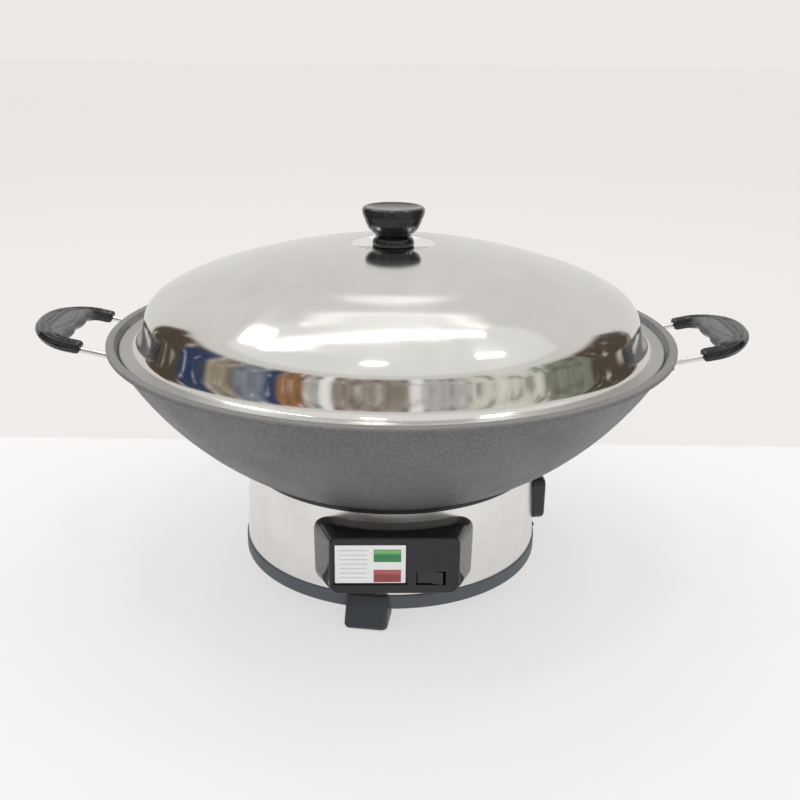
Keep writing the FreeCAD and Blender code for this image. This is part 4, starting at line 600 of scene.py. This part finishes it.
def moulded_grip(side):
    """The grip with the full roundings of a moulding, and the groove pressed into its top."""
    mesh = rounded_blank(side)
    sign = 1.0 if side == "right" else -1.0
    out = Vector((sign * math.cos(HANDLE_TILT), 0.0, math.sin(HANDLE_TILT)))
    up = Vector((-sign * math.sin(HANDLE_TILT), 0.0, math.cos(HANDLE_TILT)))
    root = Vector((sign * HANDLE_ROOT.x, 0.0, HANDLE_ROOT.z))
    heights = [(vertex.co - root).dot(up) for vertex in mesh.vertices]
    middle = (max(heights) + min(heights)) / 2
    half = (max(heights) - min(heights)) / 2
    walls = grip_walls(side, out, up, root)
    for vertex, height in zip(mesh.vertices, heights):
        level = vertex.co + up * (middle - height)
        depth = min(walls.find_nearest(level)[3] / GRIP_ROUND, 1.0)
        fullness = GRIP_EDGE + (1.0 - GRIP_EDGE) * math.sqrt(1.0 - (1.0 - depth) ** 2)
        vertex.co = level + up * (height - middle) * fullness
        if height > middle + half / 2:
            away = vertex.co - root
            vertex.co -= up * GROOVE_DEPTH * groove_share(away.dot(out), away.y)
    return mesh


rod_steel = drawn_steel("rod_steel", STEEL, STEEL_DULL, ROD_ROUGHNESS)
handle_black = grip_black()
for side in ("right", "left"):
    add_piece(merged_mesh(side + "_handle_rod", side + "_rod", HANDLE_CREASE), rod_steel,
              "rod_steel", "wok", side + "_handle_rod")
    add_piece(moulded_grip(side), handle_black, "grip_black", "wok", side + "_grip")


# Lid ----------------------------------------------------------------------------------------------
# The lid is spun from thin stainless sheet: a shallow dome that runs out into a hollow skirt, a
# flange with a rolled edge that rests inside the bowl, and a sunk seat for the knob. It is
# polished on a lathe, so lights draw out across fine rings. The flange is left rougher, and its
# darker colour is painted shade; the knob's seat is painted near white as a highlight.

LID_SHEET = 0.0008
BEAD_TRACK = 0.1809
BEAD_RADIUS = 0.0012
BEAD_DEGREES = range(120, -181, -20)
FLANGE_RADIUS = 0.1736
FLANGE_RISE = 0.0016
SKIRT_RADIUS = 0.1652
SKIRT_HEIGHT = 0.0164
SKIRT_LEAN = math.radians(12.0)
SKIRT_STEPS = 18
ARC_HANDLE = 0.55
# From the widest point of the dome inwards, and up
DOME_LINE = ((0.0041, 0.0081), (0.0152, 0.0159), (0.0415, 0.0264), (0.0746, 0.0355),
             (0.1091, 0.0427))
DOME_STEPS = 15
# The sheet's thickness lies sideways at the widest point and upright from this far above it
SHOULDER_HEIGHT = 0.012
# Spinning leaves a shallow wave round the dome: the radius of its middle, its reach to each side,
# its height
WAVE_RADIUS = 0.103
WAVE_REACH = 0.022
WAVE_HEIGHT = 0.00042
PLATEAU_RADIUS = 0.027
PLATEAU_ROUND = 0.0008
SEAT_CHAMFER = 0.0003
KNOB_SEAT_DEPTH = 0.0016
SCREW_HOLE = 0.0025
LID_CREASE = 50.0
SPIN_STEPS = 256
POLISHED = (0.76, 0.75, 0.73, 1.0)
POLISHED_DULL = (0.69, 0.68, 0.66, 1.0)
POLISH_ROUGHNESS = (0.07, 0.13)
WIPED_SIZE = 0.06
RING_SIZE = 0.0009
# Painted shade: the flange is coloured darker than the dome
FLANGE_PAINTED_SHADE = (0.54, 0.53, 0.51, 1.0)
FLANGE_ROUGHER = 0.36
FLANGE_EDGE = 0.0012
# Painted highlight: the knob's seat is coloured near white
SEAT_PAINTED_HIGHLIGHT = (0.95, 0.94, 0.92, 1.0)

lid_low, lid_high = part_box("lid_shell")
bead_height = lid_low.z + BEAD_RADIUS
flange_height = bead_height + FLANGE_RISE
widest_height = flange_height + SKIRT_HEIGHT
seat_height = lid_high.z - KNOB_SEAT_DEPTH
TANGENTS = {"leaning": Vector((-math.sin(SKIRT_LEAN), 0.0, math.cos(SKIRT_LEAN))),
            "level": Vector((1.0, 0.0, 0.0))}


def smooth_line(points, resolution=10):
    """A line through (radius, height) points. It is rounded at all but the points marked as
    corners, and runs level, or leans as the skirt does, through those marked so."""
    curve = bpy.data.curves.new("section", "CURVE")
    curve.dimensions = "3D"
    curve.resolution_u = resolution
    spline = curve.splines.new("BEZIER")
    spline.bezier_points.add(len(points) - 1)
    places = [Vector((point[0], 0.0, point[1])) for point in points]
    for number, (knot, point, place) in enumerate(zip(spline.bezier_points, points, places)):
        knot.co = place
        mark = point[2] if len(point) > 2 else ""
        kind = "FREE" if mark in TANGENTS else "VECTOR" if mark == "corner" else "AUTO"
        knot.handle_left_type = knot.handle_right_type = kind
        if mark in TANGENTS:
            before = places[max(number - 1, 0)] - place
            after = places[min(number + 1, len(places) - 1)] - place
            back = before.project(TANGENTS[mark]).normalized()
            ahead = after.project(TANGENTS[mark]).normalized()
            knot.handle_left = place + back * before.length / 3
            knot.handle_right = place + ahead * after.length / 3
    holder = bpy.data.objects.new("section", curve)
    mesh = bpy.data.meshes.new_from_object(holder)
    bpy.data.objects.remove(holder)
    bpy.data.curves.remove(curve)
    return mesh


def spun_mesh(name, points, steps=SPIN_STEPS, crease=32.0, resolution=10):
    """A section turned all the way round the upright axis."""
    section = smooth_line(points, resolution)
    shape = bmesh.new()
    shape.from_mesh(section)
    bpy.data.meshes.remove(section)
    bmesh.ops.spin(shape, geom=shape.verts[:] + shape.edges[:], cent=(0, 0, 0), axis=(0, 0, 1),
                   angle=math.tau, steps=steps, use_merge=True)
    bmesh.ops.remove_doubles(shape, verts=shape.verts, dist=MERGE_DISTANCE)
    bmesh.ops.recalc_face_normals(shape, faces=shape.faces)
    mesh = bpy.data.meshes.new(name)
    shape.to_mesh(mesh)
    shape.free()
    mesh.shade_smooth()
    mesh.set_sharp_from_angle(angle=math.radians(crease))
    return mesh


def wave_rise(radius):
    """How far the wave lifts the dome: up inside its middle, down outside."""
    off = min(1.0, abs(radius - WAVE_RADIUS) / WAVE_REACH)
    wave = math.sin(math.pi * off) * math.cos(math.pi * off / 2) ** 2 * WAVE_HEIGHT
    return wave if radius < WAVE_RADIUS else -wave


def lid_top():
    """The upper side, from the edge of the knob's seat out to the flange."""
    knots = [(PLATEAU_RADIUS + PLATEAU_ROUND, lid_high.z, "level")]
    knots += [(SKIRT_RADIUS - inwards, widest_height + rise)
              for inwards, rise in reversed(DOME_LINE)]
    knots += [(SKIRT_RADIUS, widest_height, "leaning")]
    dome = smooth_line(knots, DOME_STEPS)
    top = [(PLATEAU_RADIUS - SEAT_CHAMFER, lid_high.z - SEAT_CHAMFER)]
    top += [(point.co.x, point.co.z + wave_rise(point.co.x)) for point in dome.vertices]
    bpy.data.meshes.remove(dome)
    junction = Vector((SKIRT_RADIUS, 0.0, widest_height))
    foot = Vector((FLANGE_RADIUS, 0.0, flange_height))
    down = TANGENTS["leaning"] * ARC_HANDLE * SKIRT_HEIGHT
    inwards = TANGENTS["level"] * ARC_HANDLE * (FLANGE_RADIUS - SKIRT_RADIUS)
    skirt = interpolate_bezier(junction, junction - down, foot - inwards, foot, SKIRT_STEPS)
    return top + [(point.x, point.z) for point in skirt[1:]]


def lid_section():
    """Over the top from the knob's hole to the rolled edge and back underneath."""
    seat_rim = PLATEAU_RADIUS - KNOB_SEAT_DEPTH
    top = lid_top()
    bead = []
    for degrees in BEAD_DEGREES:
        angle = math.radians(degrees)
        bead.append((BEAD_TRACK + BEAD_RADIUS * math.cos(angle),
                     bead_height + BEAD_RADIUS * math.sin(angle)))
    under = []
    for radius, height in reversed(top):
        upright = min(1.0, max(0.0, (height - widest_height) / SHOULDER_HEIGHT))
        low_down = height < widest_height - SKIRT_HEIGHT / 2
        under.append((radius - LID_SHEET * (1.0 - upright),
                      height - (LID_SHEET if low_down else LID_SHEET * upright)))
    under_seat = [(seat_rim, seat_height - LID_SHEET), (SCREW_HOLE, seat_height - LID_SHEET)]
    seat = [(SCREW_HOLE, seat_height), (seat_rim, seat_height)]
    return seat + top + bead + under + under_seat + seat[:1]


def polished_sheet():
    """Lathe-polished steel: lights draw out across the rings, and wiping leaves it uneven; the
    knob's seat carries a painted highlight.
    """
    material, tree, shader = new_shader("polished_sheet")
    shader.inputs["Metallic"].default_value = 1.0
    shader.inputs["Anisotropic"].default_value = 0.9
    shader.inputs["Anisotropic Rotation"].default_value = 0.25
    tangent = tree.nodes.new("ShaderNodeTangent")
    tangent.direction_type = "RADIAL"
    tangent.axis = "Z"
    linked(tree, tangent.outputs["Tangent"], shader.inputs["Tangent"])
    place = object_place(tree)
    masks = skin(tree, BROAD_GRAIN, place)
    radius = from_axis(tree, place)
    ring = tree.nodes.new("ShaderNodeCombineXYZ")
    linked(tree, radius, ring.inputs["X"])
    linked(tree, split(tree, place)["Z"], ring.inputs["Y"])
    rings = noise_node(tree, ring.outputs["Vector"], RING_SIZE, detail=5.0, rough=0.7)
    dome = mixed(tree, masks["Blotch"], POLISHED_DULL, POLISHED)
    seat = mapped(tree, radius, PLATEAU_RADIUS + PLATEAU_ROUND, PLATEAU_RADIUS)
    flange = mapped(tree, radius, FLANGE_RADIUS - FLANGE_EDGE, FLANGE_RADIUS)
    colour = mixed(tree, flange, mixed(tree, seat, dome, SEAT_PAINTED_HIGHLIGHT), FLANGE_PAINTED_SHADE)
    wiped = noise_node(tree, place, WIPED_SIZE, detail=6.0, rough=0.65)
    polish = mapped(tree, wiped, *NOISE_SPAN, *POLISH_ROUGHNESS)
    rougher = ranged(tree, flange, (0.0, FLANGE_ROUGHER))
    surfaced(tree, shader, colour, computed(tree, "ADD", polish, rougher))
    bumped(tree, shader, rings, depth=0.00002, strength=0.25)
    return material


add_piece(spun_mesh("lid", lid_section(), crease=LID_CREASE, resolution=1), polished_sheet(),
          "lid_steel", "lid", "lid_shell")


# Knob ---------------------------------------------------------------------------------------------
# A cup-shaped knob of black bakelite with a rounded edge and a dished top stands on a short heat
# collar. A screw from below the lid goes into the brass insert moulded into it.

KNOB_BLACK = (0.008, 0.008, 0.009, 1.0)
KNOB_DUST = (0.03, 0.03, 0.032, 1.0)
KNOB_ROUGHNESS = (0.07, 0.16)
# Radius and height over the knob's foot
KNOB_FLANK = ((0.0104, 0.0005), (0.0126, 0.0019), (0.0156, 0.0049), (0.0176, 0.0082),
              (0.0190, 0.0116), (0.0208, 0.0179))
KNOB_EDGE = 0.0024
# The middle of a round edge lies this share of its radius in from the corner
EDGE_MIDDLE = 0.29
KNOB_DISH = 0.0018
# The dish starts this far in from the rim. It has these shares of its depth there and at the
# middle point, which stands at this share of the radius.
DISH_START = 2.2 * KNOB_EDGE
DISH_MIDDLE = 0.4
DISH_SHARES = (0.4, 0.9)
KNOB_STEPS = 128
COLLAR_TOP_RADIUS = 0.0128
COLLAR_EDGE = 0.0006
COLLAR_FOOT_EDGE = 0.0005
COLLAR_SHOULDER = 0.0002
COLLAR_STEPS = 96
PEEL_SIZE = 0.0025


def gloss_black(name, colour, dust, roughness):
    """Glossy moulded black with a little dust and fine orange peel."""
    material, tree, shader = new_shader(name)
    shader.inputs["Specular IOR Level"].default_value = 0.4
    shader.inputs["Coat Weight"].default_value = 0.12
    masks = skin(tree, PEEL_SIZE)
    surfaced(tree, shader, mixed(tree, masks["Blotch"], colour, dust),
             ranged(tree, masks["Blotch"], roughness))
    bumped(tree, shader, masks["Grain"], depth=0.00005, strength=0.2)
    return material


def knob_section():
    """From the middle of the foot up the flank, over the rounded edge and into the dish."""
    low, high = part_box("lid_knob")
    widest = KNOB_FLANK[-1][0]
    foot = [(0.0, low.z, "corner"), (KNOB_FLANK[0][0], low.z, "corner")]
    flank = [(radius, low.z + rise) for radius, rise in KNOB_FLANK]
    edge = [(widest - KNOB_EDGE * EDGE_MIDDLE, high.z - KNOB_EDGE * EDGE_MIDDLE),
            (widest - KNOB_EDGE, high.z)]
    dish = [(widest - DISH_START, high.z - DISH_SHARES[0] * KNOB_DISH),
            (widest * DISH_MIDDLE, high.z - DISH_SHARES[1] * KNOB_DISH),
            (0.0, high.z - KNOB_DISH)]
    return foot + flank + edge + dish


def collar_section():
    """A short cone with softened edges."""
    low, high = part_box("knob_collar")
    return [(0.0, low.z, "corner"), (high.x - COLLAR_FOOT_EDGE, low.z),
            (high.x, low.z + COLLAR_EDGE),
            (COLLAR_TOP_RADIUS + COLLAR_SHOULDER, high.z - COLLAR_EDGE),
            (COLLAR_TOP_RADIUS - COLLAR_EDGE, high.z), (0.0, high.z, "corner")]


knob_black = gloss_black("knob_black", KNOB_BLACK, KNOB_DUST, KNOB_ROUGHNESS)
add_piece(spun_mesh("knob", knob_section(), KNOB_STEPS), knob_black, "knob_black", "lid",
          "lid_knob")
add_piece(spun_mesh("collar", collar_section(), COLLAR_STEPS), knob_black, "knob_black", "lid",
          "knob_collar")


# Band, seat ring and base ring --------------------------------------------------------------------
# The base is a slightly tapering band of satin stainless steel. A glossy black ring on its top
# edge carries the bowl, and a ring of blue-grey plastic closes it below.

SATIN = (0.86, 0.85, 0.835, 1.0)
SATIN_DULL = (0.76, 0.75, 0.735, 1.0)
SATIN_ROUGHNESS = (0.22, 0.32)
SMEAR_SIZE = 0.05
BRUSH_SIZE = 0.0004
BRUSH_STRETCH = (0.02, 0.02, 1.0)
SEAT_RING_BLACK = (0.012, 0.012, 0.013, 1.0)
SEAT_RING_WORN = (0.03, 0.03, 0.031, 1.0)
SEAT_RING_ROUGHNESS = (0.3, 0.45)
PLASTIC_BLUE = (0.105, 0.125, 0.142, 1.0)
PLASTIC_BLUE_DARK = (0.08, 0.095, 0.108, 1.0)
RING_ROUGHNESS = (0.42, 0.6)
SAND_GRAIN = 0.0008


def satin_band():
    """Rolled sheet: the brushing runs round it, level with the table."""
    material, tree, shader = new_shader("satin_band")
    shader.inputs["Metallic"].default_value = 1.0
    place = object_place(tree)
    stretch = tree.nodes.new("ShaderNodeMapping")
    stretch.inputs["Scale"].default_value = BRUSH_STRETCH
    linked(tree, place, stretch.inputs["Vector"])
    brushing = noise_node(tree, stretch.outputs["Vector"], BRUSH_SIZE, detail=4.0, rough=0.6)
    masks = skin(tree, BROAD_GRAIN, place)
    smears = noise_node(tree, place, SMEAR_SIZE, detail=3.0)
    surfaced(tree, shader, mixed(tree, masks["Blotch"], SATIN_DULL, SATIN),
             mapped(tree, smears, *NOISE_SPAN, *SATIN_ROUGHNESS))
    bumped(tree, shader, brushing, depth=0.00001, strength=0.3)
    return material


def grained_plastic(name, colour, dark, roughness, grain=SAND_GRAIN):
    """A matt surface with a fine grain, as moulded plastic, ceramic or a weave has."""
    material, tree, shader = new_shader(name)
    masks = skin(tree, grain)
    surfaced(tree, shader, mixed(tree, masks["Blotch"], dark, colour),
             mapped(tree, masks["Grain"], *NOISE_SPAN, *roughness))
    bumped(tree, shader, masks["Grain"], depth=0.00008, strength=0.4)
    return material


# The ring that carries the bowl is coloured glossy black
seat_black = gloss_black("enamel_black", SEAT_RING_BLACK, SEAT_RING_WORN, SEAT_RING_ROUGHNESS)
base_plastic = grained_plastic("base_plastic", PLASTIC_BLUE, PLASTIC_BLUE_DARK, RING_ROUGHNESS)
add_piece(merged_mesh("base_band", "band"), satin_band(), "band_steel", "wok", "base_band")
add_piece(merged_mesh("seat_ring", "bowl_seat"), seat_black, "enamel_black", "wok", "seat_ring")
ring = add_piece(merged_mesh("base_ring", "ring"), base_plastic, "base_plastic", "wok",
                 "base_ring")
even_normals(ring)


# Feet ---------------------------------------------------------------------------------------------
# Three moulded feet hug the ring, each held by a screw from below, and are coloured darker than
# the ring. Each has a flat sloping front with rounded corners.

FOOT_SLATE = (0.045, 0.055, 0.066, 1.0)
FOOT_SLATE_DARK = (0.035, 0.043, 0.052, 1.0)
FOOT_ROUGHNESS = (0.4, 0.55)
FOOT_SOFT_EDGE = 0.0005
SOFT_EDGE_ANGLE = math.radians(40.0)


def soften_edges(piece, width, segments=2):
    """A small rounding along a piece's sharp edges."""
    bevel = piece.modifiers.new("soft_edges", "BEVEL")
    bevel.width = width
    bevel.segments = segments
    bevel.limit_method = "ANGLE"
    bevel.angle_limit = SOFT_EDGE_ANGLE
    bevel.harden_normals = False
    bevel.use_clamp_overlap = True


foot_plastic = grained_plastic("foot_plastic", FOOT_SLATE, FOOT_SLATE_DARK, FOOT_ROUGHNESS)
for side in ("front", "right", "left"):
    foot = add_piece(merged_mesh("foot_" + side, side + "_foot"), foot_plastic, "base_plastic",
                     "wok", "foot_" + side)
    soften_edges(foot, FOOT_SOFT_EDGE)
    even_normals(foot)


# Control box --------------------------------------------------------------------------------------
# A hollow housing of glossy black bakelite screwed to the band from inside. It tapers to a flat
# front with a shallow recess for the label plate, two windows and the opening of the switch.

BOX_BLACK = (0.011, 0.011, 0.012, 1.0)
BOX_DUST = (0.022, 0.022, 0.024, 1.0)
BOX_ROUGHNESS = (0.05, 0.11)

box_black = gloss_black("box_black", BOX_BLACK, BOX_DUST, BOX_ROUGHNESS)
box = add_piece(merged_mesh("control_box", "box"), box_black, "box_black", "wok", "control_box")
even_normals(box)


# Label plate and windows --------------------------------------------------------------------------
# A white painted plate with plain grey rules on its left part and two windows at its right, through
# which a green and a red lens stand. Each lens is clear tinted plastic over a glow lamp.

LABEL_WHITE = (0.92, 0.92, 0.91, 1.0)
LABEL_GREY = (0.42, 0.42, 0.43, 1.0)
LABEL_ROUGHNESS = (0.25, 0.4)
RULE_PITCH = 0.0031
RULE_LEVELS = (RULE_PITCH * 0.34, RULE_PITCH * 0.40)
RULE_SHOW = 0.55
RULE_END = 0.0002
# Where the rules end: at the right, and inside the plate's left, lower and upper edges
RULES_RIGHT = -0.0131
RULES_LEFT_MARGIN = 0.0025
RULES_LOWER_MARGIN = 0.0035
RULES_UPPER_MARGIN = 0.0012
GREEN = (0.02, 0.19, 0.065, 1.0)
GREEN_PAINTED_LIGHT = (0.17, 0.42, 0.14, 1.0)
RED = (0.24, 0.035, 0.032, 1.0)
RED_PAINTED_LIGHT = (0.42, 0.08, 0.07, 1.0)
LENS_GRAIN = 0.0012
LENS_ROUGHNESS = (0.08, 0.16)
LENS_SOFT_EDGE = 0.0003
# A lens is painted paler, as light getting in behind it, over this span above its middle
PAINTED_LIGHT_SPAN = (0.0008, 0.0022)


def printed_plate():
    """White paint with level grey rules, printed on the left part alone."""
    material, tree, shader = new_shader("printed_plate")
    low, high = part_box("label_plate")
    place = object_place(tree)
    parts = split(tree, place)
    wave = computed(tree, "PINGPONG", parts["Z"], RULE_PITCH / 2)
    printed = mapped(tree, wave, *RULE_LEVELS, 0.0, RULE_SHOW)
    for way, start, end in (("X", RULES_RIGHT, -RULE_END),
                            ("X", low.x + RULES_LEFT_MARGIN, RULE_END),
                            ("Z", low.z + RULES_LOWER_MARGIN, RULE_END),
                            ("Z", high.z - RULES_UPPER_MARGIN, -RULE_END)):
        kept = mapped(tree, parts[way], start, start + end)
        printed = computed(tree, "MULTIPLY", printed, kept)
    masks = skin(tree, SAND_GRAIN, place)
    surfaced(tree, shader, mixed(tree, printed, LABEL_WHITE, LABEL_GREY),
             ranged(tree, masks["Blotch"], LABEL_ROUGHNESS))
    bumped(tree, shader, masks["Grain"], depth=0.00003, strength=0.2)
    return material


def tinted_lens(name, colour, painted_light, node):
    """Tinted plastic, painted paler along its upper edge where light gets in behind it, and given a
    faint painted glow.
    """
    material, tree, shader = new_shader(name)
    # Painted glow: the lens gives off a faint light of its own colours, though it is no lamp
    shader.inputs["Emission Strength"].default_value = 0.12
    shader.inputs["Coat Weight"].default_value = 0.5
    low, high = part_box(node)
    middle = (low.z + high.z) / 2
    place = object_place(tree)
    upper = mapped(tree, split(tree, place)["Z"], middle + PAINTED_LIGHT_SPAN[0], middle + PAINTED_LIGHT_SPAN[1])
    lit = mixed(tree, upper, colour, painted_light)
    masks = skin(tree, LENS_GRAIN, place)
    surfaced(tree, shader, lit, ranged(tree, masks["Blotch"], LENS_ROUGHNESS))
    linked(tree, lit, shader.inputs["Emission Color"])
    bumped(tree, shader, masks["Grain"], depth=0.00005, strength=0.2)
    return material


add_piece(merged_mesh("label_plate", "plate"), printed_plate(), "label_white", "wok",
          "label_plate")
for colour, tint, painted_light in (("green", GREEN, GREEN_PAINTED_LIGHT), ("red", RED, RED_PAINTED_LIGHT)):
    window = add_piece(merged_mesh(colour + "_lens", colour + "_window"),
                       tinted_lens(colour + "_tint", tint, painted_light, colour + "_lens"),
                       "lens_" + colour, "wok", colour + "_lens")
    soften_edges(window, LENS_SOFT_EDGE)
    even_normals(window)


# Rocker switch ------------------------------------------------------------------------------------
# A small black paddle with a shallow valley across its face. It tilts on a steel pin in a deep well
# of the control box.

ROCKER_BLACK = (0.016, 0.015, 0.018, 1.0)
ROCKER_WORN = (0.035, 0.034, 0.038, 1.0)
ROCKER_ROUGHNESS = (0.15, 0.3)
ROCKER_CREASE = 25.0
ROCKER_SOFT_EDGE = 0.0004

rocker_black = gloss_black("rocker_black", ROCKER_BLACK, ROCKER_WORN, ROCKER_ROUGHNESS)
paddle = add_piece(merged_mesh("rocker", "paddle", ROCKER_CREASE), rocker_black, "rocker_black",
                   "rocker", "rocker")
soften_edges(paddle, ROCKER_SOFT_EDGE, 3)
even_normals(paddle)


# Power inlet --------------------------------------------------------------------------------------
# A moulded housing at the base's right-hand side, screwed to the band, with a deep socket and three
# flat brass pins.

INLET_GREY = (0.035, 0.036, 0.039, 1.0)
INLET_DARK = (0.024, 0.025, 0.027, 1.0)
INLET_ROUGHNESS = (0.15, 0.3)

inlet_plastic = gloss_black("inlet_grey", INLET_DARK, INLET_GREY, INLET_ROUGHNESS)
inlet = add_piece(merged_mesh("inlet_housing", "inlet"), inlet_plastic, "inlet_grey", "wok",
                  "inlet_housing")
even_normals(inlet)


# Inside the base ----------------------------------------------------------------------------------
# Zinc-plated hardware, a heat-darkened tubular element on its pressed clamp, a spun aluminium dish,
# ceramic blocks and bushes, and leads in glass sleeving. Only their materials are set here.

ZINC = (0.60, 0.61, 0.62, 1.0)
ZINC_DULL = (0.47, 0.48, 0.49, 1.0)
ZINC_ROUGHNESS = (0.42, 0.28)
SHEATH = (0.16, 0.15, 0.14, 1.0)
SHEATH_BURNT = (0.09, 0.075, 0.065, 1.0)
SHEATH_ROUGHNESS = (0.6, 0.45)
ALUMINIUM = (0.78, 0.78, 0.79, 1.0)
ALUMINIUM_DULL = (0.66, 0.66, 0.67, 1.0)
ALUMINIUM_ROUGHNESS = (0.36, 0.22)
BRASS = (0.72, 0.55, 0.26, 1.0)
BRASS_DULL = (0.55, 0.41, 0.19, 1.0)
BRASS_ROUGHNESS = (0.4, 0.25)
CERAMIC = (0.80, 0.78, 0.72, 1.0)
CERAMIC_STAINED = (0.68, 0.65, 0.58, 1.0)
CERAMIC_ROUGHNESS = (0.5, 0.65)
LAMP = (0.85, 0.80, 0.74, 1.0)
LAMP_FROSTED = (0.74, 0.69, 0.63, 1.0)
LAMP_ROUGHNESS = (0.1, 0.2)
SWITCH_GREY = (0.025, 0.025, 0.027, 1.0)
SWITCH_BLACK = (0.012, 0.012, 0.013, 1.0)
SWITCH_ROUGHNESS = (0.4, 0.55)
SLEEVES = {"brown": ((0.20, 0.10, 0.05, 1.0), (0.13, 0.065, 0.035, 1.0)),
           "blue": ((0.07, 0.14, 0.36, 1.0), (0.045, 0.09, 0.25, 1.0)),
           "green": ((0.22, 0.38, 0.08, 1.0), (0.14, 0.26, 0.05, 1.0)),
           "white": ((0.76, 0.75, 0.70, 1.0), (0.64, 0.62, 0.57, 1.0))}
SLEEVE_ROUGHNESS = (0.7, 0.85)
WEAVE_SIZE = 0.0005
FIXINGS = ("lid_screw", "lid_washer", "foot_screws", "plate_screws", "centre_stud", "clamp_nut",
           "dish_nut", "base_nut", "base_washer", "element_pins", "element_clamp",
           "limiter_bracket", "box_screws", "rocker_pin", "inlet_screws", "inlet_nuts",
           "base_plate")


def dress(material, *nodes):
    """Gives solids that stay as they are their material."""
    for node in nodes:
        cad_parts[node].material_slots[0].material = material


dress(drawn_steel("zinc_steel", ZINC, ZINC_DULL, ZINC_ROUGHNESS), *FIXINGS)
dress(drawn_steel("element_sheath", SHEATH, SHEATH_BURNT, SHEATH_ROUGHNESS), "heating_element")
dress(drawn_steel("dish_aluminium", ALUMINIUM, ALUMINIUM_DULL, ALUMINIUM_ROUGHNESS),
      "reflector_dish")
dress(drawn_steel("brass", BRASS, BRASS_DULL, BRASS_ROUGHNESS), "knob_insert", "earth_screw",
      "earth_tag", "switch_terminals", "inlet_pins")
dress(grained_plastic("ceramic", CERAMIC, CERAMIC_STAINED, CERAMIC_ROUGHNESS), "element_bushes",
      "limiter", "terminal_block")
dress(grained_plastic("lamp_glass", LAMP, LAMP_FROSTED, LAMP_ROUGHNESS), "green_lamp", "red_lamp")
dress(grained_plastic("switch_black", SWITCH_GREY, SWITCH_BLACK, SWITCH_ROUGHNESS), "switch_body")
sleeve = {name: grained_plastic("sleeve_" + name, *colours, SLEEVE_ROUGHNESS, WEAVE_SIZE)
          for name, colours in SLEEVES.items()}
dress(sleeve["brown"], "live_lead", "switched_lead", "limiter_lead")
dress(sleeve["blue"], "neutral_lead")
dress(sleeve["green"], "earth_lead")
dress(sleeve["white"], "thermal_fuse")
